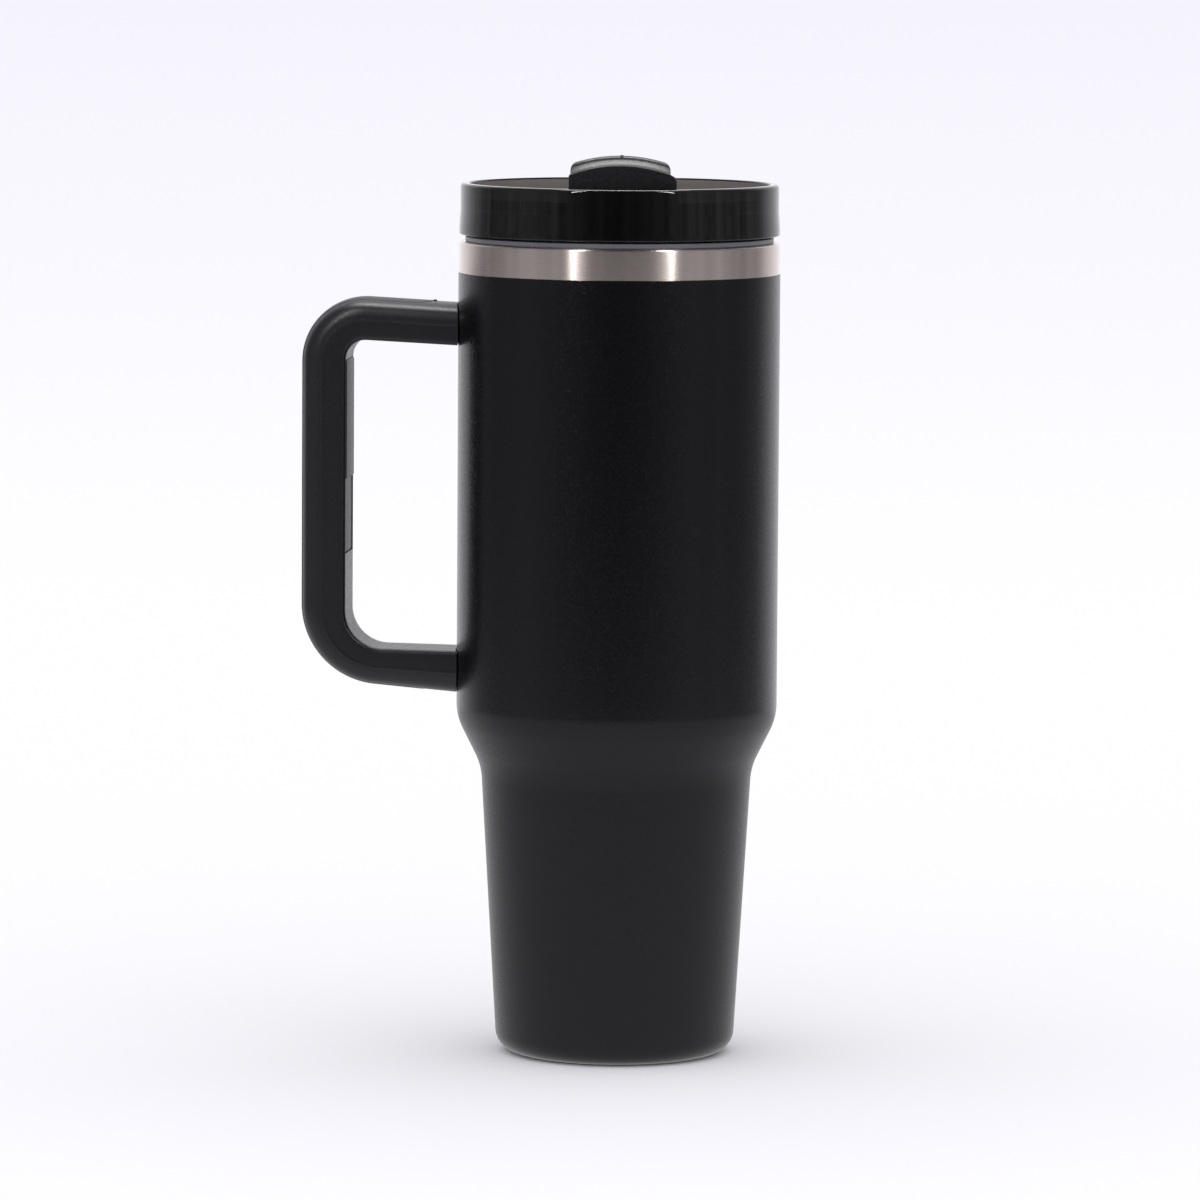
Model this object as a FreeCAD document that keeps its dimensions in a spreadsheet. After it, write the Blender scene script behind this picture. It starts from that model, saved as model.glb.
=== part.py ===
import FreeCAD, Part
import Sketcher
import os
import math
from FreeCAD import Vector, Placement, Rotation

# Handled vacuum travel mug with a screw-on lid and a three-position turning cover.
# Frame: origin at the centre of the base's rest plane, +Z up along the cup's axis,
# the handle on the -X side. Millimetres.

doc = FreeCAD.newDocument("travel_mug")
os.makedirs("parts", exist_ok=True)

# ---------------------------------------------------------------- driving sizes
SIZES = [
    # cup, outer wall
    ("body_radius", 49.3, "outer radius of the upper cylinder, over the powder coat"),
    ("band_radius", 49.15, "outer radius of the bare steel band"),
    ("outer_wall_thk", 0.8, "outer wall thickness"),
    ("base_radius", 36.46, "outer radius where the lower wall meets the rest plane"),
    ("base_corner", 6.6, "rounding of the base corner"),
    ("flange_radius", 26.0, "inner radius of the base flange"),
    ("shoulder_low_radius", 41.64, "outer radius below the shoulder"),
    ("shoulder_low_z", 88.47, "height of the lower knee"),
    ("shoulder_high_z", 103.8, "height of the upper knee"),
    ("shoulder_low_round", 20.0, "rounding of the lower knee"),
    ("shoulder_high_round", 18.0, "rounding of the upper knee"),
    ("coat_top_z", 240.4, "top edge of the powder coat"),
    ("lip_z", 249.8, "top of the cup's lip"),
    ("lip_round", 1.1, "rounding of the lip"),
    # cup, liner
    ("neck_radius", 45.8, "outer radius of the liner's neck"),
    ("liner_thk", 0.6, "liner thickness"),
    ("liner_low_radius", 38.2, "outer radius of the liner below the shoulder"),
    ("liner_foot_radius", 33.9, "outer radius of the liner at its weld"),
    ("liner_foot_z", 16.0, "height of the liner's bottom weld"),
    ("liner_floor_z", 7.2, "underside of the liner's bottom"),
    ("liner_floor_round", 8.0, "rounding of the liner's bottom"),
    # screw thread
    ("thread_lead", 12.0, "rise in one turn, three starts"),
    ("thread_turns", 0.4, "length of each thread ridge in turns"),
    ("thread_reach", 1.2, "how far a ridge stands from its wall"),
    ("cup_thread_z", 238.5, "middle of the cup's ridge at its lower end"),
    ("lid_thread_z", 234.5, "middle of the lid's ridge at its lower end"),
    ("lid_thread_start", -60.0, "angle of the lid's ridge at its lower end"),
    # lid
    ("lid_turn", 5.2, "angle of the lid's front from -Y towards +X"),
    ("ring_radius", 48.8, "outer radius of the lid ring"),
    ("ring_flare_radius", 49.15, "outer radius at the ring's lower edge"),
    ("ring_wall", 2.8, "thickness of the ring's rim"),
    ("ring_low_z", 252.15, "underside of the ring"),
    ("ring_top_z", 267.65, "top of the ring"),
    ("deck_top_z", 260.1, "top of the lid's deck"),
    ("deck_thk", 2.5, "thickness of the deck"),
    ("skirt_radius", 43.6, "outer radius of the lid's skirt"),
    ("skirt_wall", 2.2, "thickness of the skirt"),
    ("skirt_low_z", 230.0, "lower edge of the skirt"),
    ("gasket_radius", 47.2, "outer radius of the lid gasket"),
    ("gasket_gap", 0.05, "gap round the gasket"),
    ("straw_place", 24.0, "distance of the straw hole from the axis"),
    ("straw_bearing", -25.0, "angle of the straw hole in the lid's own frame"),
    ("straw_hole_radius", 6.5, "radius of the hole in the deck"),
    ("straw_bore_radius", 3.9, "bore of the straw seal"),
    ("sip_bearing", 85.0, "angle of the sip slot in the lid's own frame"),
    ("sip_inner", 31.5, "inner radius of the sip slot"),
    ("sip_outer", 38.5, "outer radius of the sip slot"),
    ("sip_half_angle", 13.0, "half of the sip slot's angle"),
    # cover
    ("cover_radius", 45.3, "radius of the turning cover"),
    ("cover_low_z", 261.0, "underside of the cover"),
    ("cover_thk", 2.2, "thickness of the cover"),
    ("window_bearing", 30.0, "middle of the cover's window in the lid's own frame"),
    ("window_half_angle", 17.0, "half of the window's angle"),
    ("window_inner", 16.0, "inner radius of the window"),
    ("window_outer", 40.5, "outer radius of the window"),
    ("notch_radius", 43.3, "inner radius of the stop notch"),
    ("notch_half_angle", 58.5, "half of the stop notch's angle"),
    ("pivot_bore", 3.0, "bore for the pivot pin"),
    ("pivot_shank", 2.95, "radius of the pivot pin"),
    ("tab_front", 42.6, "distance of the tab's front face from the axis"),
    ("tab_crest", 33.0, "distance of the tab's crest from the axis"),
    ("tab_crest_z", 277.35, "height of the tab's crest"),
    ("tab_lip_z", 274.65, "height of the tab's front edge"),
    ("tab_width", 30.2, "width of the tab"),
    ("tab_crown", 46.0, "radius of the tab's crown across its width"),
    ("tab_crest_round", 2.9, "rounding of the crest's two ends"),
    ("plate_left", 15.6, "tab's front plate, left of its middle"),
    ("plate_right", 16.9, "tab's front plate, right of its middle"),
    ("plate_top_z", 271.7, "top of the front plate's shoulders"),
    # handle
    ("grip_outer_x", 97.2, "outer face of the grip from the axis"),
    ("grip_inner_x", 83.1, "inner face of the grip from the axis"),
    ("handle_depth", 21.4, "depth of the handle along Y"),
    ("arm_root_x", 47.0, "where the arms are cut before the saddle"),
    ("upper_top_corner_z", 232.9, "upper arm's top line at the outer face"),
    ("upper_top_root_z", 230.3, "upper arm's top line at the root"),
    ("upper_low_corner_z", 219.55, "upper arm's lower line at the inner face"),
    ("upper_low_root_z", 217.85, "upper arm's lower line at the root"),
    ("lower_top_corner_z", 124.55, "lower arm's top line at the inner face"),
    ("lower_top_root_z", 123.9, "lower arm's top line at the root"),
    ("lower_low_corner_z", 115.15, "lower arm's lower line at the outer face"),
    ("lower_low_root_z", 110.8, "lower arm's lower line at the root"),
    ("upper_outer_round", 19.6, "upper outer corner"),
    ("lower_outer_round", 24.8, "lower outer corner"),
    ("upper_inner_round", 6.0, "upper inner corner"),
    ("lower_inner_round", 11.5, "lower inner corner"),
    ("grip_edge_round", 8.0, "rounding of the handle's outer edges"),
    ("inner_edge_round", 1.2, "rounding of the handle's inner edges"),
    ("saddle_gap", 0.35, "gap between the arms and the wall"),
    ("pad_thk", 1.6, "thickness of the outer soft pad"),
    ("pad_width", 12.2, "width of the outer soft pad"),
    ("pad_edge_round", 1.1, "rounding of the outer soft pad's edges"),
    ("inner_pad_width", 18.6, "width of the inner soft pad"),
    ("pad_gap", 0.08, "gap round a soft pad"),
    ("pad_tip_x", 57.3, "upper tip of the outer soft pad"),
    ("pad_low_tip_x", 59.0, "lower tip of the outer soft pad"),
    ("inner_pad_low_z", 153.4, "lower end of the inner soft pad"),
    ("inner_pad_step_z", 176.3, "step of the inner soft pad"),
    ("inner_pad_high_z", 213.2, "upper end of the inner soft pad"),
    ("inner_pad_thk", 2.0, "depth of the inner pad's recess"),
    ("inner_pad_proud", 0.3, "how far the thick part stands proud"),
    ("inner_pad_sunk", 0.35, "how far the thin part lies below the frame"),
    # brackets and screws
    ("tang_end_x", 68.0, "outer end of the welded tangs"),
    ("tang_width", 10.0, "width of the tangs"),
    ("tang_thk", 5.0, "thickness of the tangs"),
    ("upper_tang_z", 220.2, "underside of the upper tang"),
    ("lower_tang_z", 117.8, "underside of the lower tang"),
    ("tang_gap", 0.25, "gap between a tang and its socket"),
    ("screw_x", 62.5, "screws from the cup's axis"),
    ("screw_radius", 1.45, "screw shank radius"),
    ("screw_head_radius", 2.7, "screw head radius"),
    ("screw_head_thk", 1.9, "screw head thickness"),
    ("screw_length", 6.4, "screw shank length"),
    # vacuum closure
    ("port_radius", 1.5, "evacuation port"),
    ("cap_radius", 25.6, "radius of the base cap"),
    ("cap_low_z", 1.4, "underside of the base cap"),
    ("cap_thk", 0.7, "thickness of the base cap"),
    ("getter_x", 14.0, "getter from the axis"),
    ("getter_radius", 4.0, "getter radius"),
    ("getter_thk", 2.0, "getter thickness"),
]
sheet = doc.addObject("Spreadsheet::Sheet", "Sizes")
VAL = {}
for row, (alias, value, note) in enumerate(SIZES, 1):
    sheet.set("A%d" % row, note)
    sheet.set("B%d" % row, str(value))
    sheet.setAlias("B%d" % row, alias)
    VAL[alias] = float(value)
doc.recompute()


class Q:
    """A size with its value and the expression that gives it from the sheet."""

    def __init__(self, v, e):
        self.v = float(v)
        self.e = e

    def __add__(self, o):
        o = q(o)
        return Q(self.v + o.v, "(%s + %s)" % (self.e, o.e))

    __radd__ = __add__

    def __sub__(self, o):
        o = q(o)
        return Q(self.v - o.v, "(%s - %s)" % (self.e, o.e))

    def __rsub__(self, o):
        return q(o) - self

    def __mul__(self, o):
        o = q(o)
        return Q(self.v * o.v, "(%s * %s)" % (self.e, o.e))

    __rmul__ = __mul__

    def __truediv__(self, o):
        o = q(o)
        return Q(self.v / o.v, "(%s / %s)" % (self.e, o.e))

    def __neg__(self):
        return Q(-self.v, "(0 - %s)" % self.e)


def q(o):
    return o if isinstance(o, Q) else Q(o, "%.6f" % float(o))


def D(alias):
    return Q(VAL[alias], "Sizes.%s" % alias)


# ---------------------------------------------------------------- helpers
NODES = []


def new_body(name, export=True, place=None):
    b = doc.addObject("PartDesign::Body", name)
    b.Label = name
    b.Placement = place if place is not None else Placement()
    if export:
        NODES.append(b)
    return b


def origin_feature(b, role):
    for f in b.Origin.OriginFeatures:
        if f.Role == role:
            return f
    raise RuntimeError("no origin feature " + role)


def new_sketch(b, name, role, offset=None):
    s = b.newObject("Sketcher::SketchObject", name)
    s.AttachmentSupport = [(origin_feature(b, role), "")]
    s.MapMode = "FlatFace"
    if offset is not None:
        s.AttachmentOffset = Placement(Vector(*[q(c).v for c in offset]), Rotation())
        for axis, c in zip("xyz", offset):
            if isinstance(c, Q):
                s.setExpression("AttachmentOffset.Base." + axis, c.e)
    return s


def fix_point(s, g, pos, x, y):
    """Tie a sketch point to the origin by sheet expressions."""
    for kind, c, axis in (("DistanceX", q(x), -2), ("DistanceY", q(y), -1)):
        if abs(c.v) < 1e-9:
            s.addConstraint(Sketcher.Constraint("PointOnObject", g, pos, axis))
        else:
            i = s.addConstraint(Sketcher.Constraint(kind, -1, 1, g, pos, c.v))
            s.setExpression("Constraints[%d]" % i, c.e)


def polygon(s, pts):
    """Closed polygon whose corners are tied to the sheet."""
    n = len(pts)
    vs = [Vector(q(x).v, q(y).v, 0) for x, y in pts]
    ids = [s.addGeometry(Part.LineSegment(vs[k], vs[(k + 1) % n]), False) for k in range(n)]
    for k in range(n):
        s.addConstraint(Sketcher.Constraint("Coincident", ids[k], 2, ids[(k + 1) % n], 1))
    for k in range(n):
        fix_point(s, ids[k], 1, pts[k][0], pts[k][1])
    return ids


def polyround(s, pts):
    """Closed outline; a corner given as (x, y, r) is rounded by a tangent arc of radius r."""
    n = len(pts)
    V = [Vector(q(p[0]).v, q(p[1]).v, 0) for p in pts]
    ends = []
    for k in range(n):
        if len(pts[k]) < 3:
            ends.append((V[k], V[k], None, True))
            continue
        r = q(pts[k][2]).v
        u = (V[k - 1] - V[k]).normalize()
        w = (V[(k + 1) % n] - V[k]).normalize()
        ang = u.getAngle(w)
        t = r / math.tan(ang / 2)
        t1, t2 = V[k] + u * t, V[k] + w * t
        c = V[k] + (u + w).normalize() * (r / math.sin(ang / 2))
        left = (u.x * -1) * w.y - (u.y * -1) * w.x > 0
        ends.append((t1, t2, (c, r), left))
    lines = []
    for k in range(n):
        a, c = ends[k][1], ends[(k + 1) % n][0]
        lines.append(s.addGeometry(Part.LineSegment(a, c), False))
    for k in range(n):
        prev, nxt = lines[k - 1], lines[k]
        t1, t2, arc, left = ends[k]
        if arc is None:
            s.addConstraint(Sketcher.Constraint("Coincident", prev, 2, nxt, 1))
            fix_point(s, nxt, 1, pts[k][0], pts[k][1])
            continue
        c, r = arc
        a1 = math.atan2(t1.y - c.y, t1.x - c.x)
        a2 = math.atan2(t2.y - c.y, t2.x - c.x)
        cc = Part.Circle(c, Vector(0, 0, 1), r)
        g = s.addGeometry(Part.ArcOfCircle(cc, a1, a2) if left else Part.ArcOfCircle(cc, a2, a1), False)
        first, last = (1, 2) if left else (2, 1)
        pt = s.addGeometry(Part.Point(V[k]), True)
        fix_point(s, pt, 1, pts[k][0], pts[k][1])
        s.addConstraint(Sketcher.Constraint("PointOnObject", pt, 1, prev))
        s.addConstraint(Sketcher.Constraint("PointOnObject", pt, 1, nxt))
        s.addConstraint(Sketcher.Constraint("Tangent", prev, 2, g, first))
        s.addConstraint(Sketcher.Constraint("Tangent", g, last, nxt, 1))
        i = s.addConstraint(Sketcher.Constraint("Radius", g, r))
        s.setExpression("Constraints[%d]" % i, q(pts[k][2]).e)
    return lines


def circle(s, x, y, r):
    g = s.addGeometry(Part.Circle(Vector(q(x).v, q(y).v, 0), Vector(0, 0, 1), q(r).v), False)
    fix_point(s, g, 3, x, y)
    i = s.addConstraint(Sketcher.Constraint("Radius", g, q(r).v))
    s.setExpression("Constraints[%d]" % i, q(r).e)
    return g


def sector(s, ri, ro, mid, half):
    """Annular sector about the sketch's origin, from mid - half to mid + half degrees."""
    ri, ro, mid, half = q(ri), q(ro), q(mid), q(half)
    a0, a1 = mid - half, mid + half
    r0, r1 = math.radians(a0.v), math.radians(a1.v)
    zc = Vector(0, 0, 0)
    gi = s.addGeometry(Part.ArcOfCircle(Part.Circle(zc, Vector(0, 0, 1), ri.v), r0, r1), False)
    go = s.addGeometry(Part.ArcOfCircle(Part.Circle(zc, Vector(0, 0, 1), ro.v), r0, r1), False)

    def at(r, a):
        return Vector(r * math.cos(a), r * math.sin(a), 0)

    l0 = s.addGeometry(Part.LineSegment(at(ri.v, r0), at(ro.v, r0)), False)
    l1 = s.addGeometry(Part.LineSegment(at(ri.v, r1), at(ro.v, r1)), False)
    for g in (gi, go):
        s.addConstraint(Sketcher.Constraint("Coincident", g, 3, -1, 1))
    s.addConstraint(Sketcher.Constraint("Coincident", gi, 1, l0, 1))
    s.addConstraint(Sketcher.Constraint("Coincident", go, 1, l0, 2))
    s.addConstraint(Sketcher.Constraint("Coincident", gi, 2, l1, 1))
    s.addConstraint(Sketcher.Constraint("Coincident", go, 2, l1, 2))
    for g, r in ((gi, ri), (go, ro)):
        i = s.addConstraint(Sketcher.Constraint("Radius", g, r.v))
        s.setExpression("Constraints[%d]" % i, r.e)
    # the four ends lie on the two arcs; one coordinate of each outer end fixes its angle
    for g, pos, a in ((l0, 2, a0), (l1, 2, a1), (l0, 1, a0), (l1, 1, a1)):
        r = ro if pos == 2 else ri
        ca, sa = math.cos(math.radians(a.v)), math.sin(math.radians(a.v))
        if abs(sa) <= abs(ca):
            i = s.addConstraint(Sketcher.Constraint("DistanceY", -1, 1, g, pos, r.v * sa))
            s.setExpression("Constraints[%d]" % i, "%s * sin(%s * 1deg)" % (r.e, a.e))
        else:
            i = s.addConstraint(Sketcher.Constraint("DistanceX", -1, 1, g, pos, r.v * ca))
            s.setExpression("Constraints[%d]" % i, "%s * cos(%s * 1deg)" % (r.e, a.e))


def check(o, what=""):
    doc.recompute()
    bad = [t for t in o.State if t in ("Invalid", "Error")]
    if bad or o.Shape.isNull() or not o.Shape.isValid():
        raise RuntimeError("%s %s failed: %s" % (o.Name, what, o.State))
    return o


def revolve(b, name, pts, angle=360.0, role="XZ_Plane", axis="V_Axis", offset=None, midplane=False):
    s = new_sketch(b, name + "_sketch", role, offset)
    polygon(s, pts)
    r = b.newObject("PartDesign::Revolution", name)
    r.Profile = s
    r.ReferenceAxis = (s, [axis])
    r.Angle = angle
    r.Midplane = midplane
    s.Visibility = False
    return check(r)


def pad(b, name, s, length, midplane=False, reverse=False, taper=None):
    p = b.newObject("PartDesign::Pad", name)
    p.Profile = s
    p.Length = q(length).v
    p.setExpression("Length", q(length).e)
    if midplane:
        p.SideType = "Symmetric"
    p.Reversed = reverse
    return check(p)


def pocket(b, name, s, length=None, midplane=False, reverse=False, must_cut=True):
    doc.recompute()
    before = b.Shape.Volume
    p = b.newObject("PartDesign::Pocket", name)
    p.Profile = s
    if midplane:
        p.SideType = "Symmetric"
    if length is None:
        p.Type = "ThroughAll"
    else:
        p.Type = "Length"
        p.Length = q(length).v
        p.setExpression("Length", q(length).e)
    p.Reversed = reverse
    check(p)
    if must_cut and not p.Shape.Volume < before - 1e-3:
        raise RuntimeError("%s cuts nothing" % name)
    return p


def round_edges(b, name, base, picks, radius):
    """Fillet the edges of base that picks() accepts."""
    names = ["Edge%d" % (i + 1) for i, e in enumerate(base.Shape.Edges) if picks(e)]
    if not names:
        raise RuntimeError("%s finds no edge" % name)
    f = b.newObject("PartDesign::Fillet", name)
    f.Base = (base, names)
    f.Radius = q(radius).v
    f.setExpression("Radius", q(radius).e)
    return check(f)


def ring_at(*rz):
    """Accept circular edges about Z with the given (radius, height) pairs."""
    want = [(q(r).v, q(z).v) for r, z in rz]

    def ok(e):
        c = e.Curve
        if c.TypeId != "Part::GeomCircle":
            return False
        if math.hypot(c.Center.x, c.Center.y) > 0.01:
            return False
        return any(abs(c.Radius - r) < 0.02 and abs(c.Center.z - z) < 0.02 for r, z in want)

    return ok


def line_at_xz(*xz, tol=0.05):
    """Accept straight edges along Y at the given (x, z) places."""
    want = [(q(x).v, q(z).v) for x, z in xz]

    def ok(e):
        if e.Curve.TypeId != "Part::GeomLine":
            return False
        a, c = e.Vertexes[0].Point, e.Vertexes[-1].Point
        if abs(a.x - c.x) > 0.01 or abs(a.z - c.z) > 0.01:
            return False
        return any(abs(a.x - x) < tol and abs(a.z - z) < tol for x, z in want)

    return ok


def polar(b, name, feature, count):
    p = b.newObject("PartDesign::PolarPattern", name)
    p.Originals = [feature]
    p.Axis = (origin_feature(b, "Z_Axis"), [""])
    p.Angle = 360.0
    p.Occurrences = count
    b.Tip = p
    return check(p)


# ================================================================ CUP
wall = D("outer_wall_thk")
Rb = D("body_radius")

# outer wall: one drawn steel shell, from the base flange up to the rolled lip
b = new_body("outer_wall")
rev = revolve(b, "outer_wall_shell", [
    (D("flange_radius"), 0),
    (D("base_radius"), 0),
    (D("shoulder_low_radius"), D("shoulder_low_z")),
    (Rb, D("shoulder_high_z")),
    (Rb, D("coat_top_z")),
    (D("band_radius"), D("coat_top_z")),
    (D("band_radius"), D("lip_z")),
    (D("neck_radius"), D("lip_z")),
    (D("neck_radius"), D("lip_z") - wall),
    (Rb - wall, D("lip_z") - wall),
    (Rb - wall, D("shoulder_high_z")),
    (D("shoulder_low_radius") - wall, D("shoulder_low_z")),
    (D("base_radius") - wall, wall),
    (D("flange_radius") + wall, wall),
    (D("flange_radius") + wall, 3.0),
    (D("flange_radius"), 3.0),
])
f = round_edges(b, "lower_knee", rev, ring_at((D("shoulder_low_radius"), D("shoulder_low_z"))), D("shoulder_low_round"))
f = round_edges(b, "lower_knee_inside", f, ring_at((D("shoulder_low_radius") - wall, D("shoulder_low_z"))), D("shoulder_low_round") + wall)
f = round_edges(b, "upper_knee", f, ring_at((Rb, D("shoulder_high_z"))), D("shoulder_high_round"))
f = round_edges(b, "upper_knee_inside", f, ring_at((Rb - wall, D("shoulder_high_z"))), D("shoulder_high_round") - wall)
f = round_edges(b, "base_corner_inside", f, ring_at((D("base_radius") - wall, wall)), D("base_corner") - wall)
f = round_edges(b, "base_corner_round", f, ring_at((D("base_radius"), 0)), D("base_corner"))
f = round_edges(b, "lip_inside", f, ring_at((Rb - wall, D("lip_z") - wall)), D("lip_round") - wall)
f = round_edges(b, "lip_round_top", f, ring_at((D("band_radius"), D("lip_z"))), D("lip_round"))
f = round_edges(b, "flange_edge", f, ring_at((D("flange_radius"), 0)), 0.6)

# liner: the inner tube, with the screw ridges pressed into its neck
lt = D("liner_thk")
Rn = D("neck_radius")
b = new_body("inner_liner")
rev = revolve(b, "liner_tube", [
    (Rn, D("lip_z")),
    (Rn, D("shoulder_high_z") + 2.2),
    (D("liner_low_radius"), D("shoulder_low_z") + 1.7),
    (D("liner_foot_radius"), D("liner_foot_z")),
    (D("liner_foot_radius") - lt, D("liner_foot_z")),
    (D("liner_low_radius") - lt, D("shoulder_low_z") + 1.7),
    (Rn - lt, D("shoulder_high_z") + 2.2),
    (Rn - lt, D("lip_z")),
])
f = round_edges(b, "liner_low_knee", rev, ring_at((D("liner_low_radius"), D("shoulder_low_z") + 1.7)), D("shoulder_low_round"))
f = round_edges(b, "liner_low_knee_inside", f, ring_at((D("liner_low_radius") - lt, D("shoulder_low_z") + 1.7)), D("shoulder_low_round") + lt)
f = round_edges(b, "liner_high_knee", f, ring_at((Rn, D("shoulder_high_z") + 2.2)), D("shoulder_high_round"))
f = round_edges(b, "liner_high_knee_inside", f, ring_at((Rn - lt, D("shoulder_high_z") + 2.2)), D("shoulder_high_round") - lt)


def screw_ridge(b, name, root, tip, z, start):
    """One ridge of the three-start thread: a trapezoid carried round a helix."""
    s = new_sketch(b, name + "_sketch", "XZ_Plane")
    if start is not None:
        s.AttachmentOffset = Placement(Vector(0, 0, 0), Rotation(Vector(0, 1, 0), start.v))
        s.setExpression("AttachmentOffset.Rotation.Angle", start.e)
    polygon(s, [(root, z - 0.75), (tip, z - 0.35), (tip, z + 0.35), (root, z + 0.75)])
    hx = b.newObject("PartDesign::AdditiveHelix", name)
    hx.Profile = s
    hx.ReferenceAxis = (s, ["V_Axis"])
    hx.Mode = "pitch-turns-angle"
    hx.Pitch = VAL["thread_lead"]
    hx.setExpression("Pitch", D("thread_lead").e)
    hx.Turns = VAL["thread_turns"]
    hx.setExpression("Turns", D("thread_turns").e)
    hx.Angle = 0
    hx.LeftHanded = False
    hx.Reversed = False
    b.Tip = hx
    return check(hx)


hx = screw_ridge(b, "liner_ridge", Rn - lt + 0.15, Rn - lt - D("thread_reach"), D("cup_thread_z"), None)
polar(b, "liner_ridges", hx, 3)

# liner bottom: the dished floor welded to the liner
b = new_body("liner_bottom")
Rf = D("liner_foot_radius")
rev = revolve(b, "liner_dish", [
    (0, D("liner_floor_z")),
    (Rf, D("liner_floor_z")),
    (Rf, D("liner_foot_z")),
    (Rf - lt, D("liner_foot_z")),
    (Rf - lt, D("liner_floor_z") + lt),
    (0, D("liner_floor_z") + lt),
])
f = round_edges(b, "dish_inside", rev, ring_at((Rf - lt, D("liner_floor_z") + lt)), D("liner_floor_round") - lt)
f = round_edges(b, "dish_outside", f, ring_at((Rf, D("liner_floor_z"))), D("liner_floor_round"))

# vacuum base: the outer bottom plate, with a dimple and the evacuation port
b = new_body("vacuum_base")
revolve(b, "base_plate", [
    (D("port_radius"), 3.6), (5.0, 3.6), (5.8, 2.2), (D("flange_radius"), 2.2),
    (D("flange_radius"), 4.2), (D("flange_radius") - wall, 4.2), (D("flange_radius") - wall, 3.0),
    (6.3, 3.0), (5.5, 4.4), (D("port_radius"), 4.4),
])

# seal bead: the glass plug that closes the port after pumping
b = new_body("vacuum_seal_bead")
revolve(b, "bead", [
    (0, 2.5), (3.4, 2.5), (4.0, 3.0), (4.0, 3.6),
    (D("port_radius") - 0.05, 3.6), (D("port_radius") - 0.05, 4.2), (0, 4.2),
])

# base cap: thin disc that hides the port
b = new_body("base_cap")
rev = revolve(b, "cap_disc", [
    (0, D("cap_low_z")), (D("cap_radius"), D("cap_low_z")),
    (D("cap_radius"), D("cap_low_z") + D("cap_thk")), (0, D("cap_low_z") + D("cap_thk")),
])
round_edges(b, "cap_edge", rev, ring_at((D("cap_radius"), D("cap_low_z"))), 0.4)

# getter and the clip that holds it on the base plate, inside the vacuum
b = new_body("getter_clip")
s = new_sketch(b, "clip_profile", "XZ_Plane")
gx, gr = D("getter_x"), D("getter_radius")
zc = q(3.0)
polygon(s, [
    (gx - gr - 0.5, zc), (gx + gr + 0.5, zc), (gx + gr + 0.5, zc + 2.9), (gx + gr - 0.9, zc + 2.9),
    (gx + gr - 0.9, zc + 2.5), (gx + gr + 0.1, zc + 2.5), (gx + gr + 0.1, zc + 0.4),
    (gx - gr - 0.1, zc + 0.4), (gx - gr - 0.1, zc + 2.5), (gx - gr + 0.9, zc + 2.5),
    (gx - gr + 0.9, zc + 2.9), (gx - gr - 0.5, zc + 2.9),
])
pad(b, "clip_strip", s, 5.0, midplane=True)
b = new_body("getter")
s = new_sketch(b, "getter_circle", "XY_Plane", offset=(0, 0, zc + 0.4))
circle(s, gx, 0, gr)
pad(b, "getter_pill", s, D("getter_thk"))

# ================================================================ HANDLE
gox, gix = -D("grip_outer_x"), -D("grip_inner_x")
root = -D("arm_root_x")
utc, utr = D("upper_top_corner_z"), D("upper_top_root_z")
ulc, ulr = D("upper_low_corner_z"), D("upper_low_root_z")
ltc, ltr = D("lower_top_corner_z"), D("lower_top_root_z")
llc, llr = D("lower_low_corner_z"), D("lower_low_root_z")
span = D("grip_outer_x") - D("arm_root_x")


def upper_top(xabs):
    """Height of the upper arm's top line at x = -xabs."""
    return utr + (utc - utr) * (xabs - D("arm_root_x")) / span


def lower_low(xabs):
    """Height of the lower arm's lower line at x = -xabs."""
    return llr + (llc - llr) * (xabs - D("arm_root_x")) / span


b = new_body("handle_frame")
s = new_sketch(b, "frame_side", "XZ_Plane")
polygon(s, [(root, utr), (gox, utc), (gox, llc), (root, llr), (root, ltr), (gix, ltc), (gix, ulc), (root, ulr)])
p = pad(b, "frame_bar", s, D("handle_depth"), midplane=True)
f = round_edges(b, "corner_upper_outer", p, line_at_xz((gox, utc)), D("upper_outer_round"))
f = round_edges(b, "corner_lower_outer", f, line_at_xz((gox, llc)), D("lower_outer_round"))
f = round_edges(b, "corner_upper_inner", f, line_at_xz((gix, ulc)), D("upper_inner_round"))
f = round_edges(b, "corner_lower_inner", f, line_at_xz((gix, ltc)), D("lower_inner_round"))
half = VAL["handle_depth"] / 2


def side_edges(outer):
    """Edges on the two flat sides, on the outer or the inner outline."""
    def ok(e):
        pts = [e.valueAt(e.FirstParameter + (e.LastParameter - e.FirstParameter) * t) for t in (0.05, 0.5, 0.95)]
        if any(abs(abs(pt.y) - half) > 0.01 for pt in pts):
            return False
        m = pts[1]
        if abs(m.x - root.v) < 0.01:
            return False
        xa = -m.x
        top = utr.v + (utc.v - utr.v) * (xa - VAL["arm_root_x"]) / span.v
        low = llr.v + (llc.v - llr.v) * (xa - VAL["arm_root_x"]) / span.v
        on_outer = m.z > top - 7.5 or m.z < low + 8.5 or m.x < gox.v + 7.0
        return on_outer == outer
    return ok


f = round_edges(b, "outer_edges", f, side_edges(True), D("grip_edge_round"))
f = round_edges(b, "inner_edges", f, side_edges(False), D("inner_edge_round"))

# saddle: the arms end a little clear of the round wall
s = new_sketch(b, "saddle_circle", "XY_Plane")
circle(s, 0, 0, Rb + D("saddle_gap"))
pocket(b, "saddle", s, 600.0, midplane=True)

# recess for the outer pad, along the top, the back and the underside
pt, pg = D("pad_thk"), D("pad_gap")


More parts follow.
